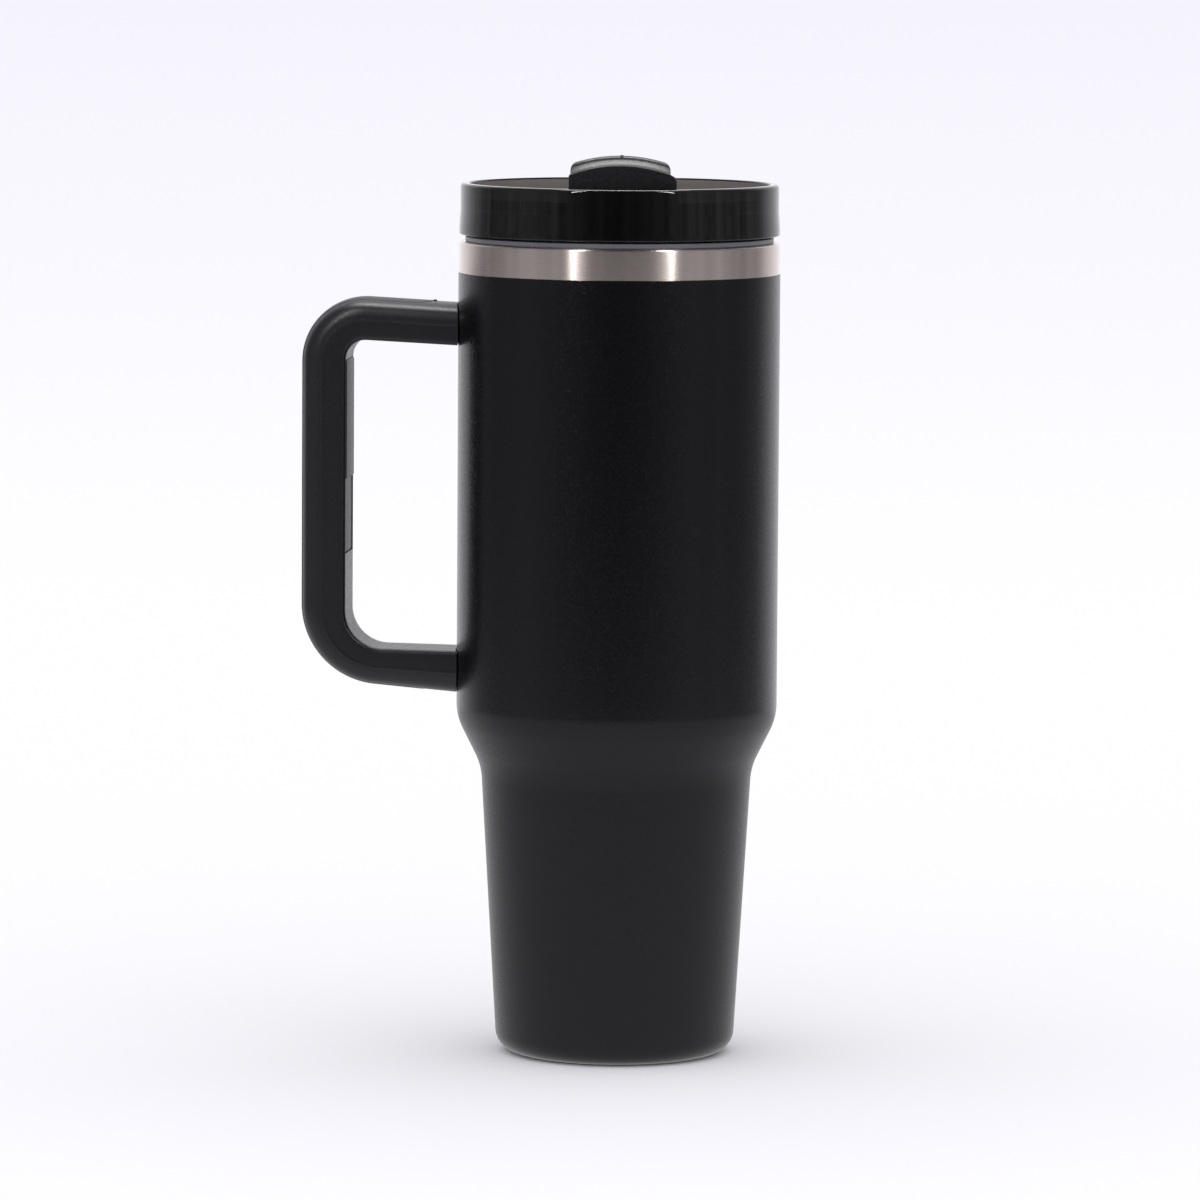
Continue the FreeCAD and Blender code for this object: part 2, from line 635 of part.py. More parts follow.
def strip(xa, xb, out, d):
    """C-shaped strip under the outer outline, from x = -xa round to x = -xb: out above it, d deep."""
    return [
        (-xa, upper_top(xa) + out), (gox - out, utc + out, D("upper_outer_round") + out),
        (gox - out, llc - out, D("lower_outer_round") + out), (-xb, lower_low(xb) - out),
        (-xb, lower_low(xb) + d), (gox + d, llc + d, D("lower_outer_round") - d),
        (gox + d, utc - d, D("upper_outer_round") - d), (-xa, upper_top(xa) - d),
    ]


s = new_sketch(b, "outer_recess_side", "XZ_Plane")
polyround(s, strip(D("pad_tip_x") - pg, D("pad_low_tip_x") - pg, q(3.0), pt + pg))
pk = pocket(b, "outer_recess", s, D("pad_width") + 2 * pg, midplane=True)
yw = VAL["pad_width"] / 2 + VAL["pad_gap"]


def recess_tips(e):
    if e.Curve.TypeId != "Part::GeomLine":
        return False
    a, c = e.Vertexes[0].Point, e.Vertexes[-1].Point
    if abs(abs(a.y) - yw) > 0.01 or abs(a.y - c.y) > 0.01 or abs(a.x - c.x) > 0.01:
        return False
    return min(abs(a.x + VAL["pad_tip_x"] - VAL["pad_gap"]), abs(a.x + VAL["pad_low_tip_x"] - VAL["pad_gap"])) < 0.02


round_edges(b, "outer_recess_tips", pk, recess_tips, D("pad_width") / 2 - 0.1)

# recess for the inner pad, across the full depth of the grip
ipl, iph = D("inner_pad_low_z"), D("inner_pad_high_z")
ipd = D("inner_pad_thk")
s = new_sketch(b, "inner_recess_side", "XZ_Plane")
polyround(s, [(gix - ipd, ipl, q(1.0)), (gix + 6.0, ipl), (gix + 6.0, iph), (gix - ipd, iph, q(1.0))])
pocket(b, "inner_recess", s, D("inner_pad_width") + 0.2, midplane=True)

# sockets for the welded tangs, and the screw holes
tg, tw, tt, te = D("tang_gap"), D("tang_width"), D("tang_thk"), D("tang_end_x")
for nm, z in (("upper", D("upper_tang_z")), ("lower", D("lower_tang_z"))):
    s = new_sketch(b, nm + "_socket_side", "XZ_Plane")
    polygon(s, [(-te - tg, z - tg), (q(-40.0), z - tg), (q(-40.0), z + tt + tg), (-te - tg, z + tt + tg)])
    pocket(b, nm + "_socket", s, tw + 2 * tg, midplane=True)
sx = -D("screw_x")
seat_up = D("upper_tang_z") + tt + 1.8
seat_low = D("lower_tang_z") - 1.8
for nm, z, up in (("upper", seat_up, True), ("lower", seat_low, False)):
    s = new_sketch(b, nm + "_head_circle", "XY_Plane", offset=(0, 0, z))
    circle(s, sx, 0, D("screw_head_radius") + 0.2)
    pocket(b, nm + "_head_recess", s, 6.0, reverse=up)
    s = new_sketch(b, nm + "_shank_circle", "XY_Plane", offset=(0, 0, z))
    circle(s, sx, 0, D("screw_radius") + 0.15)
    pocket(b, nm + "_shank_hole", s, 2.5, reverse=not up)

# soft pads
b = new_body("outer_grip_pad")
s = new_sketch(b, "outer_pad_side", "XZ_Plane")
polyround(s, strip(D("pad_tip_x"), D("pad_low_tip_x"), q(0.0), pt))
p = pad(b, "outer_pad_strip", s, D("pad_width"), midplane=True)
yp = VAL["pad_width"] / 2


def pad_tips(e):
    if e.Curve.TypeId != "Part::GeomLine":
        return False
    a, c = e.Vertexes[0].Point, e.Vertexes[-1].Point
    if abs(abs(a.y) - yp) > 0.01 or abs(a.y - c.y) > 0.01 or abs(a.x - c.x) > 0.01:
        return False
    return min(abs(a.x + VAL["pad_tip_x"]), abs(a.x + VAL["pad_low_tip_x"])) < 0.02


f = round_edges(b, "outer_pad_tips", p, pad_tips, D("pad_width") / 2 - 0.15)


def pad_outer_edges(e):
    """Edges of the strip's outer face."""
    for t in (0.02, 0.5, 0.98):
        pt = e.valueAt(e.FirstParameter + (e.LastParameter - e.FirstParameter) * t)
        xa = -pt.x
        ro1, ro2 = VAL["upper_outer_round"], VAL["lower_outer_round"]
        near = 0.1
        c1 = (gox.v + ro1, utc.v - ro1 - 1.05)
        on = abs(pt.z - (utr.v + (utc.v - utr.v) * (xa - VAL["arm_root_x"]) / span.v)) < near
        on = on or abs(pt.z - (llr.v + (llc.v - llr.v) * (xa - VAL["arm_root_x"]) / span.v)) < near
        on = on or abs(pt.x - gox.v) < near
        if not on:
            d1 = math.hypot(pt.x - c1[0], pt.z - c1[1])
            d2 = math.hypot(pt.x - (gox.v + ro2), pt.z - (llc.v + ro2 + 1.7))
            on = (abs(d1 - ro1) < 0.55 and pt.z > 180.0) or (abs(d2 - ro2) < 0.55 and pt.z < 165.0)
        if not on:
            return False
    return True


round_edges(b, "outer_pad_edges", f, pad_outer_edges, D("pad_edge_round"))

b = new_body("inner_grip_pad")
s = new_sketch(b, "inner_pad_side", "XZ_Plane")
prd, snk, stz = D("inner_pad_proud"), D("inner_pad_sunk"), D("inner_pad_step_z")
polyround(s, [
    (gix - ipd + pg, ipl + pg, q(1.2)), (gix - snk, ipl + pg), (gix - snk, stz), (gix + prd, stz + 0.5),
    (gix + prd, iph - pg - 0.6), (gix - 0.3, iph - pg), (gix - ipd + pg, iph - pg, q(1.2)),
])
pad(b, "inner_pad_strip", s, D("inner_pad_width"), midplane=True)

# tangs welded to the outer wall; the arms slide over them
for nm, z in (("upper", D("upper_tang_z")), ("lower", D("lower_tang_z"))):
    b = new_body(nm + "_handle_tang")
    s = new_sketch(b, nm + "_tang_side", "XZ_Plane")
    polygon(s, [(-te, z), (q(-45.0), z), (q(-45.0), z + tt), (-te, z + tt)])
    pad(b, nm + "_tang_bar", s, tw, midplane=True)
    s = new_sketch(b, nm + "_tang_saddle_circle", "XY_Plane")
    circle(s, 0, 0, Rb)
    pocket(b, nm + "_tang_saddle", s, 600.0, midplane=True)
    s = new_sketch(b, nm + "_tang_hole_circle", "XY_Plane")
    circle(s, sx, 0, D("screw_radius") + 0.05)
    pocket(b, nm + "_tang_hole", s, 600.0, midplane=True)


def screw(name, z, up):
    """Socket-head screw; up means its head is on top."""
    k = q(1.0) if up else q(-1.0)
    b = new_body(name, export=False)
    hr, ht, sr, sl = D("screw_head_radius"), D("screw_head_thk"), D("screw_radius"), D("screw_length")
    s = new_sketch(b, name + "_outline", "XZ_Plane", offset=(sx, z, 0))
    polygon(s, [(0, -(k * sl)), (sr, -(k * sl)), (sr, q(0)), (hr, q(0)), (hr, k * (ht - 0.3)), (hr - 0.3, k * ht), (0, k * ht)])
    r = b.newObject("PartDesign::Revolution", name + "_turned")
    r.Profile = s
    r.ReferenceAxis = (s, ["V_Axis"])
    r.Angle = 360.0
    check(r)
    s = new_sketch(b, name + "_hex", "XY_Plane", offset=(0, 0, z + k * ht))
    a = q(1.25)
    hexa = [(sx + a * math.cos(math.radians(t)), a * math.sin(math.radians(t))) for t in range(0, 360, 60)]
    polygon(s, hexa)
    pocket(b, name + "_socket", s, 1.1, reverse=not up)
    return b


pair = doc.addObject("Part::Compound", "handle_screws")
pair.Label = "handle_screws"
pair.Links = [screw("upper_screw", seat_up, True), screw("lower_screw", seat_low, False)]
check(pair)
NODES.append(pair)

# ================================================================ LID
LID = Placement(Vector(0, 0, 0), Rotation(Vector(0, 0, 1), VAL["lid_turn"]))
gg = D("gasket_gap")

# gasket: a grey sealing ring under the lid's ring, with a lip that wipes the mouth
b = new_body("lid_gasket")
sk = D("skirt_radius")
rev = revolve(b, "gasket_ring", [
    (sk + gg * 2, D("ring_low_z") - gg), (D("gasket_radius"), D("ring_low_z") - gg),
    (D("gasket_radius"), D("lip_z") + gg), (sk + 1.15, D("lip_z") + gg),
    (sk + 1.15, D("lip_z") - 2.2), (sk + gg * 2, D("lip_z") - 2.2),
])
round_edges(b, "gasket_edges", rev, ring_at((D("gasket_radius"), D("ring_low_z") - gg), (D("gasket_radius"), D("lip_z") + gg)), 0.5)

# lid body: ring, deck and threaded skirt in one moulding
b = new_body("lid_body", place=LID)
dt = D("deck_top_z")
db = dt - D("deck_thk")
Rr, rz0, rz1 = D("ring_radius"), D("ring_low_z"), D("ring_top_z")
si = sk - D("skirt_wall")
rev = revolve(b, "lid_moulding", [
    (0, db), (si, db), (si, D("skirt_low_z")), (sk, D("skirt_low_z")), (sk, rz0),
    (D("ring_flare_radius"), rz0), (D("ring_flare_radius"), rz0 + 1.6), (Rr, rz0 + 7.2), (Rr, rz1),
    (Rr - D("ring_wall"), rz1), (Rr - D("ring_wall"), dt), (0, dt),
])
f = round_edges(b, "rim_round", rev, ring_at((Rr, rz1), (Rr - D("ring_wall"), rz1)), 0.7)
f = round_edges(b, "ring_lower_edge", f, ring_at((D("ring_flare_radius"), rz0)), 0.5)
f = round_edges(b, "well_corner", f, ring_at((Rr - D("ring_wall"), dt)), 0.5)
s = new_sketch(b, "boss_circle", "XY_Plane", offset=(0, 0, db + 0.1))
circle(s, 0, 0, 6.0)
pad(b, "pivot_boss", s, 5.7, reverse=True)
xs = D("straw_place") * math.cos(math.radians(VAL["straw_bearing"]))
ys = D("straw_place") * math.sin(math.radians(VAL["straw_bearing"]))
s = new_sketch(b, "collar_circle", "XY_Plane", offset=(0, 0, db + 0.1))
circle(s, xs, ys, D("straw_hole_radius") + 1.8)
pad(b, "straw_collar", s, 4.2, reverse=True)
s = new_sketch(b, "stop_side", "XY_Plane", offset=(0, 0, dt - 0.1))
polygon(s, [(-2.0, 43.9), (2.0, 43.9), (2.0, 46.4), (-2.0, 46.4)])
pad(b, "cover_stop", s, 2.6)
s = new_sketch(b, "pivot_circle", "XY_Plane", offset=(0, 0, dt + 2.0))
circle(s, 0, 0, D("pivot_bore"))
pocket(b, "pivot_hole", s, 14.0)
s = new_sketch(b, "straw_circle", "XY_Plane", offset=(0, 0, dt + 2.0))
circle(s, xs, ys, D("straw_hole_radius"))
pocket(b, "straw_hole", s, 14.0)
s = new_sketch(b, "sip_sector", "XY_Plane", offset=(0, 0, dt + 2.0))
sector(s, D("sip_inner"), D("sip_outer"), D("sip_bearing"), D("sip_half_angle"))
pocket(b, "sip_slot", s, 8.0)
s = new_sketch(b, "vent_circle", "XY_Plane", offset=(0, 0, dt + 2.0))
circle(s, 22.0 * math.cos(math.radians(85.0)), 22.0 * math.sin(math.radians(85.0)), 1.0)
pocket(b, "vent_hole", s, 8.0)
hx = screw_ridge(b, "lid_ridge", sk - 0.2, sk + D("thread_reach"), D("lid_thread_z"), D("lid_thread_start"))
polar(b, "lid_ridges", hx, 3)

# straw seal: soft grommet in the straw hole
b = new_body("straw_seal", place=LID.multiply(Placement(Vector(xs.v, ys.v, 0), Rotation())))
revolve(b, "grommet", [
    (D("straw_bore_radius"), 252.2), (8.0, 252.2), (8.0, 253.4), (D("straw_hole_radius") - 0.05, 253.4),
    (D("straw_hole_radius") - 0.05, dt - 0.05), (D("straw_bore_radius") + 1.5, dt - 0.05), (D("straw_bore_radius"), dt - 3.0),
])

# pivot pin: snaps through the cover and the deck
b = new_body("cover_pivot_pin", place=LID)
cz = D("cover_low_z") + D("cover_thk")
ps = D("pivot_shank")
rev = revolve(b, "pin_turned", [
    (0, 249.8), (2.2, 249.8), (3.5, 251.0), (3.5, 251.85), (ps, 251.85), (ps, cz + 0.1),
    (6.5, cz + 0.1), (6.5, cz + 0.9), (5.4, cz + 1.6), (0, cz + 1.6),
])
b = new_body("pivot_o_ring", place=LID)
s = new_sketch(b, "o_ring_section", "XZ_Plane")
circle(s, 4.7, dt + 0.42, 0.4)
r = b.newObject("PartDesign::Revolution", "o_ring")
r.Profile = s
r.ReferenceAxis = (s, ["V_Axis"])
r.Angle = 360.0
check(r)

# turning cover: tab first, then the disc, the window and the stop notch
b = new_body("rotating_cover", place=LID)
cl = D("cover_low_z")
axz = D("tab_crest_z") - D("tab_crown")
tf, tcr = D("tab_front"), D("tab_crest")
rev = revolve(b, "tab_crown_sweep", [
    (-(tf - 0.3), cl - axz + 1.0), (-(tf - 0.45), D("tab_lip_z") - axz), (-(tf - 2.2), D("tab_lip_z") - axz - 0.25),
    (-(tf - 5.0), D("tab_lip_z") - axz + 0.15), (-(tcr + 3.0), D("tab_lip_z") - axz + 1.1), (-(tcr + 0.9), D("tab_crest_z") - axz - 0.25),
    (-tcr, D("tab_crest_z") - axz), (-(tcr - 1.0), D("tab_crest_z") - axz - 0.35), (-(tcr - 1.7), D("tab_crest_z") - axz - 1.6),
    (-(tcr - 1.3), D("tab_crest_z") - axz - 4.0), (-(tcr + 0.6), D("tab_crest_z") - axz - 8.5), (-(tcr + 0.9), cl - axz + 1.0),
], angle=70.0, role="YZ_Plane", axis="H_Axis", offset=(0, axz, 0), midplane=True)
tw2 = D("tab_width") / 2
# the crown's height and slope where it meets the tab's sides
end = Q(math.sqrt(VAL["tab_crown"] ** 2 - tw2.v ** 2), "sqrt(Sizes.tab_crown ^ 2 - (Sizes.tab_width / 2) ^ 2)")
slope = tw2 / end
for nm, k in (("left", -1.0), ("right", 1.0)):
    s = new_sketch(b, nm + "_trim", "XZ_Plane")
    polyround(s, [(k * tw2, q(240.0)), (q(k * 40.0), q(240.0)), (q(k * 40.0), q(290.0)), (k * 5.0, q(290.0)),
                  (k * 5.0, axz + end + (tw2 - 5.0) * slope), (k * tw2, axz + end, D("tab_crest_round"))])
    pocket(b, "tab_%s_side" % nm, s, 120.0, midplane=True)
s = new_sketch(b, "under_trim", "XY_Plane", offset=(0, 0, cl + 0.6))
circle(s, 0, 0, 60.0)
pocket(b, "tab_underside", s, 20.0)
s = new_sketch(b, "front_plate_side", "XZ_Plane", offset=(0, 0, tf - 2.4))
polyround(s, [
    (-D("plate_left"), cl + 0.6), (D("plate_right"), cl + 0.6),
    (D("plate_right"), D("plate_top_z"), q(2.0)), (-D("plate_left"), D("plate_top_z"), q(1.6)),
])
pad(b, "front_plate", s, 2.3)
s = new_sketch(b, "disc_outline", "XZ_Plane")
polygon(s, [(D("pivot_bore"), cl), (D("cover_radius"), cl), (D("cover_radius"), cl + D("cover_thk") - 0.5),
            (D("cover_radius") - 0.5, cl + D("cover_thk")), (D("pivot_bore"), cl + D("cover_thk"))])
r = b.newObject("PartDesign::Revolution", "cover_disc")
r.Profile = s
r.ReferenceAxis = (s, ["V_Axis"])
r.Angle = 360.0
check(r)
s = new_sketch(b, "window_sector", "XY_Plane", offset=(0, 0, cl + 5.0))
sector(s, D("window_inner"), D("window_outer"), D("window_bearing"), D("window_half_angle"))
pocket(b, "window", s, 10.0)
s = new_sketch(b, "notch_sector", "XY_Plane", offset=(0, 0, cl + 5.0))
sector(s, D("notch_radius"), q(60.0), q(90.0), D("notch_half_angle"))
pocket(b, "stop_notch", s, 10.0)

# cover seal: soft disc under the cover that wipes the deck
b = new_body("cover_seal", place=LID)
rev = revolve(b, "seal_disc", [(10.0, dt + 0.25), (42.6, dt + 0.25), (42.6, cl - 0.02), (10.0, cl - 0.02)])
s = new_sketch(b, "seal_window_sector", "XY_Plane", offset=(0, 0, cl + 2.0))
sector(s, D("window_inner") - 0.6, D("window_outer") + 0.6, D("window_bearing"), D("window_half_angle") + 1.0)
pocket(b, "seal_window", s, 6.0)

# ================================================================ checks and output
doc.recompute()
for o in doc.Objects:
    if any(t in ("Invalid", "Error") for t in o.State):
        raise RuntimeError("failed object " + o.Name)
for b in NODES:
    if b.Shape.isNull() or not b.Shape.isValid() or len(b.Shape.Solids) < 1:
        raise RuntimeError("bad shape " + b.Label)
for b in NODES:
    b.Shape.exportStep("parts/%s.step" % b.Label)
    bb = b.Shape.optimalBoundingBox(False, False)
    print("%-20s vol %9.1f solids %d  x %.2f..%.2f y %.2f..%.2f z %.2f..%.2f" % (
        b.Label, b.Shape.Volume, len(b.Shape.Solids), bb.XMin, bb.XMax, bb.YMin, bb.YMax, bb.ZMin, bb.ZMax))
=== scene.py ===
import bpy, bmesh, math, random
from mathutils import Vector, Matrix


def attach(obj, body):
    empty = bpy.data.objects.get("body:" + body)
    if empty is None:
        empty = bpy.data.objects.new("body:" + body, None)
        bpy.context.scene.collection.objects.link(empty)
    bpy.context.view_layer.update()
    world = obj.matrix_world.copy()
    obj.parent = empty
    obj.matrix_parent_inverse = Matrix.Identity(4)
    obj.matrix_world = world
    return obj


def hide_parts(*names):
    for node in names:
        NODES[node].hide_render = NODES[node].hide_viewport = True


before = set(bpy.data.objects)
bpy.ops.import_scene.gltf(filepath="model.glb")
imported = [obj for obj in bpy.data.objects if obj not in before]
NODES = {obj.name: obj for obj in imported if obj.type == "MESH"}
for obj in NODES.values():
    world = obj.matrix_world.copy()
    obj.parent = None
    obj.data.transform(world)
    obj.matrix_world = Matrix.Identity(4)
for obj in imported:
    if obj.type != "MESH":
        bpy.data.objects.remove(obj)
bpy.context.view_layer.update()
MM = 0.001
CAM_AZ = math.radians(5.0)          # the camera stands 5 degrees round from -Y towards +X
LID_TURN = math.radians(5.2)        # the lid's front, from -Y towards +X


# ------------------------------------------------------------------ node helpers
def material(name):
    m = bpy.data.materials.new(name)
    m.use_nodes = True
    nt = m.node_tree
    nt.nodes.clear()
    out = nt.nodes.new("ShaderNodeOutputMaterial")
    b = nt.nodes.new("ShaderNodeBsdfPrincipled")
    nt.links.new(b.outputs[0], out.inputs["Surface"])
    return m, nt, b, out


def node(nt, kind, **props):
    n = nt.nodes.new(kind)
    for k, v in props.items():
        setattr(n, k, v)
    return n


def link(nt, a, b):
    nt.links.new(a, b)


def coords(nt, scale=(1, 1, 1)):
    """Object coordinates in metres, scaled."""
    t = node(nt, "ShaderNodeTexCoord")
    mp = node(nt, "ShaderNodeMapping")
    mp.inputs["Scale"].default_value = scale
    link(nt, t.outputs["Object"], mp.inputs["Vector"])
    return mp.outputs["Vector"]


def noise(nt, vec, scale, detail=2.0, rough=0.5, dist=0.0):
    n = node(nt, "ShaderNodeTexNoise")
    n.inputs["Scale"].default_value = scale
    n.inputs["Detail"].default_value = detail
    n.inputs["Roughness"].default_value = rough
    n.inputs["Distortion"].default_value = dist
    link(nt, vec, n.inputs["Vector"])
    return n.outputs["Fac"]


def voronoi(nt, vec, scale, feature="F1"):
    n = node(nt, "ShaderNodeTexVoronoi", feature=feature)
    n.inputs["Scale"].default_value = scale
    link(nt, vec, n.inputs["Vector"])
    return n.outputs["Distance"]


def remap(nt, val, a, b, c, d):
    n = node(nt, "ShaderNodeMapRange")
    n.inputs["From Min"].default_value = a
    n.inputs["From Max"].default_value = b
    n.inputs["To Min"].default_value = c
    n.inputs["To Max"].default_value = d
    link(nt, val, n.inputs["Value"])
    return n.outputs["Result"]


def math2(nt, op, a, b=None):
    n = node(nt, "ShaderNodeMath", operation=op)
    for i, v in enumerate((a, b)):
        if v is None:
            continue
        if isinstance(v, (int, float)):
            n.inputs[i].default_value = v
        else:
            link(nt, v, n.inputs[i])
    return n.outputs[0]


def colour_mix(nt, fac, a, b):
    n = node(nt, "ShaderNodeMix", data_type="RGBA")
    link(nt, fac, n.inputs["Factor"])
    for key, v in (("A", a), ("B", b)):
        s = [i for i in n.inputs if i.name == key and i.type == "RGBA"][0]
        if isinstance(v, tuple):
            s.default_value = v if len(v) == 4 else (*v, 1.0)
        else:
            link(nt, v, s)
    return [o for o in n.outputs if o.type == "RGBA"][0]


def bump(nt, bsdf, height, strength, dist, prev=None):
    n = node(nt, "ShaderNodeBump")
    n.inputs["Strength"].default_value = strength
    n.inputs["Distance"].default_value = dist
    link(nt, height, n.inputs["Height"])
    if prev is not None:
        link(nt, prev, n.inputs["Normal"])
    if bsdf is not None:
        link(nt, n.outputs["Normal"], bsdf.inputs["Normal"])
    return n.outputs["Normal"]


# ------------------------------------------------------------------ materials
def powder_coat():
    m, nt, b, _ = material("powder_coat_black")
    v = coords(nt)
    grain = noise(nt, v, 2200.0, 2.0, 0.6)
    flecks = remap(nt, noise(nt, v, 1900.0, 1.0, 0.5), 0.56, 0.74, 0.0, 1.0)
    orange = noise(nt, v, 700.0, 1.0, 0.5)
    large = noise(nt, v, 30.0, 2.0, 0.5)
    link(nt, colour_mix(nt, large, (0.0006, 0.0007, 0.0024), (0.0010, 0.0011, 0.0031)), b.inputs["Base Color"])
    link(nt, remap(nt, grain, 0.3, 0.7, 0.20, 0.28), b.inputs["Roughness"])
    n1 = bump(nt, None, orange, 0.12, 0.00006)
    n2 = bump(nt, None, flecks, 0.42, 0.00006, n1)
    bump(nt, b, grain, 0.16, 0.00003, n2)
    b.inputs["Specular IOR Level"].default_value = 0.38
    return m


# the default base colour is the steel's own colour plus a warm tint; the warm tint is a painted reflection of the
# warm-lit room in the band (the liner's steel below stays nearly neutral)
def brushed_steel(name="brushed_steel", base=(0.64, 0.565, 0.522), rough=0.265):
    m, nt, b, _ = material(name)
    # fine lines run round the cup: noise stretched along the circumference
    t = node(nt, "ShaderNodeTexCoord")
    sep = node(nt, "ShaderNodeSeparateXYZ")
    link(nt, t.outputs["Object"], sep.inputs[0])
    ang = math2(nt, "ARCTAN2", sep.outputs["Y"], sep.outputs["X"])
    rad = math2(nt, "SQRT", math2(nt, "ADD", math2(nt, "POWER", sep.outputs["X"], 2.0), math2(nt, "POWER", sep.outputs["Y"], 2.0)))
    comb = node(nt, "ShaderNodeCombineXYZ")
    link(nt, math2(nt, "MULTIPLY", ang, 1.1), comb.inputs["X"])
    link(nt, math2(nt, "MULTIPLY", sep.outputs["Z"], 1700.0), comb.inputs["Y"])
    link(nt, math2(nt, "MULTIPLY", rad, 1700.0), comb.inputs["Z"])
    lines = noise(nt, comb.outputs[0], 5.0, 5.0, 0.6)
    broad = noise(nt, comb.outputs[0], 0.8, 2.0, 0.5)
    b.inputs["Metallic"].default_value = 1.0
    c0 = tuple(x * 0.98 for x in base)
    c1 = tuple(min(1.0, x * 1.02) for x in base)
    link(nt, colour_mix(nt, lines, c0, c1), b.inputs["Base Color"])
    link(nt, remap(nt, lines, 0.25, 0.75, rough - 0.012, rough + 0.016), b.inputs["Roughness"])
    b.inputs["Anisotropic"].default_value = 1.0
    b.inputs["Anisotropic Rotation"].default_value = 0.25
    tan = node(nt, "ShaderNodeTangent", direction_type="RADIAL", axis="Z")
    link(nt, tan.outputs[0], b.inputs["Tangent"])
    n1 = bump(nt, None, lines, 0.035, 0.00002)
    bump(nt, b, broad, 0.015, 0.00002, n1)
    return m


def plain_steel(name, base, rough, metallic=1.0):
    m, nt, b, _ = material(name)
    v = coords(nt)
    n = noise(nt, v, 350.0, 3.0, 0.6)
    b.inputs["Metallic"].default_value = metallic
    link(nt, colour_mix(nt, n, tuple(x * 0.9 for x in base), tuple(min(1, x * 1.08) for x in base)), b.inputs["Base Color"])
    link(nt, remap(nt, n, 0.3, 0.7, rough - 0.05, rough + 0.08), b.inputs["Roughness"])
    bump(nt, b, n, 0.15, 0.00004)
    return m


def moulded(name, base, rough=0.5, grain=1100.0, depth=0.00003, strength=0.5, rough_span=0.08):
    """Fine-textured moulded plastic."""
    m, nt, b, _ = material(name)
    v = coords(nt)
    g = noise(nt, v, grain, 2.0, 0.6)
    big = noise(nt, v, 60.0, 2.0, 0.5)
    lo = tuple(x * 0.85 for x in base)
    hi = tuple(x * 1.15 for x in base)
    link(nt, colour_mix(nt, big, lo, hi), b.inputs["Base Color"])
    link(nt, remap(nt, g, 0.3, 0.7, rough - rough_span, rough + rough_span), b.inputs["Roughness"])
    bump(nt, b, g, strength, depth)
    return m


def smoke_plastic():
    m, nt, b, out = material("smoke_clear_plastic")
    v = coords(nt)
    n = noise(nt, v, 45.0, 2.0, 0.5)
    b.inputs["Base Color"].default_value = (0.0060, 0.0052, 0.0048, 1)
    b.inputs["Transmission Weight"].default_value = 1.0
    b.inputs["IOR"].default_value = 1.5
    link(nt, remap(nt, n, 0.35, 0.75, 0.008, 0.03), b.inputs["Roughness"])
    bump(nt, b, n, 0.04, 0.0002)
    return m


def smoke_inner():
    """The ring's inner face: light spreads in the smoke-clear wall, so it looks a warm grey."""
    m, nt, b, out = material("smoke_clear_inner_face")
    t = node(nt, "ShaderNodeTexCoord")
    mp = node(nt, "ShaderNodeMapping")
    mp.inputs["Scale"].default_value = (1.0, 1.0, 0.02)
    link(nt, t.outputs["Object"], mp.inputs["Vector"])
    n = noise(nt, mp.outputs["Vector"], 120.0, 3.0, 0.6)
    fine = noise(nt, t.outputs["Object"], 900.0, 1.0, 0.5)
    # painted light: the warm hue is the smoke plastic's tint, but the base colour's lightness stands in for the light
    # that spreads in the wall, and the vertically stretched noise paints vertical highlight streaks into it
    link(nt, colour_mix(nt, n, (0.235, 0.212, 0.196), (0.300, 0.272, 0.250)), b.inputs["Base Color"])
    b.inputs["Transmission Weight"].default_value = 0.45
    b.inputs["IOR"].default_value = 1.5
    link(nt, remap(nt, n, 0.3, 0.7, 0.06, 0.14), b.inputs["Roughness"])
    bump(nt, b, fine, 0.05, 0.00002)
    return m


MAT = {}
MAT["powder"] = powder_coat()
MAT["steel"] = brushed_steel()
MAT["liner"] = brushed_steel("liner_satin_steel", (0.60, 0.59, 0.58), 0.30)
MAT["mill"] = plain_steel("mill_steel", (0.50, 0.49, 0.48), 0.38)
MAT["getter"] = plain_steel("sintered_getter", (0.20, 0.20, 0.21), 0.7, 0.6)
MAT["screw"] = plain_steel("screw_steel", (0.45, 0.45, 0.46), 0.3)
MAT["handle"] = moulded("handle_plastic_black", (0.0046, 0.0046, 0.0085), 0.36, 1500.0, 0.00002, 0.35)
MAT["pad"] = moulded("soft_grip_black", (0.0060, 0.0060, 0.0098), 0.46, 1900.0, 0.00002, 0.35)
MAT["cover"] = moulded("cover_plastic_black", (0.0030, 0.0030, 0.0038), 0.36, 1500.0, 0.00002, 0.3)
MAT["face"] = moulded("tab_face_texture", (0.0036, 0.0036, 0.0058), 0.38, 1700.0, 0.00006, 0.55, 0.12)
MAT["gasket"] = moulded("grey_silicone", (0.135, 0.135, 0.155), 0.40, 700.0, 0.00002, 0.3)
MAT["glass"] = moulded("solder_glass", (0.10, 0.12, 0.10), 0.15, 300.0, 0.00004, 0.4)
MAT["smoke"] = smoke_plastic()
MAT["smoke_in"] = smoke_inner()
MAT["satin"] = moulded("tab_top_satin", (0.0035, 0.0035, 0.0055), 0.30, 900.0, 0.000003, 0.08, 0.04)
MAT["lid_in"] = moulded("lid_inside_black", (0.0015, 0.0014, 0.0013), 0.30, 300.0, 0.00002, 0.2)


def dress(name, mat):
    o = NODES[name]
    o.data.materials.clear()
    o.data.materials.append(mat)


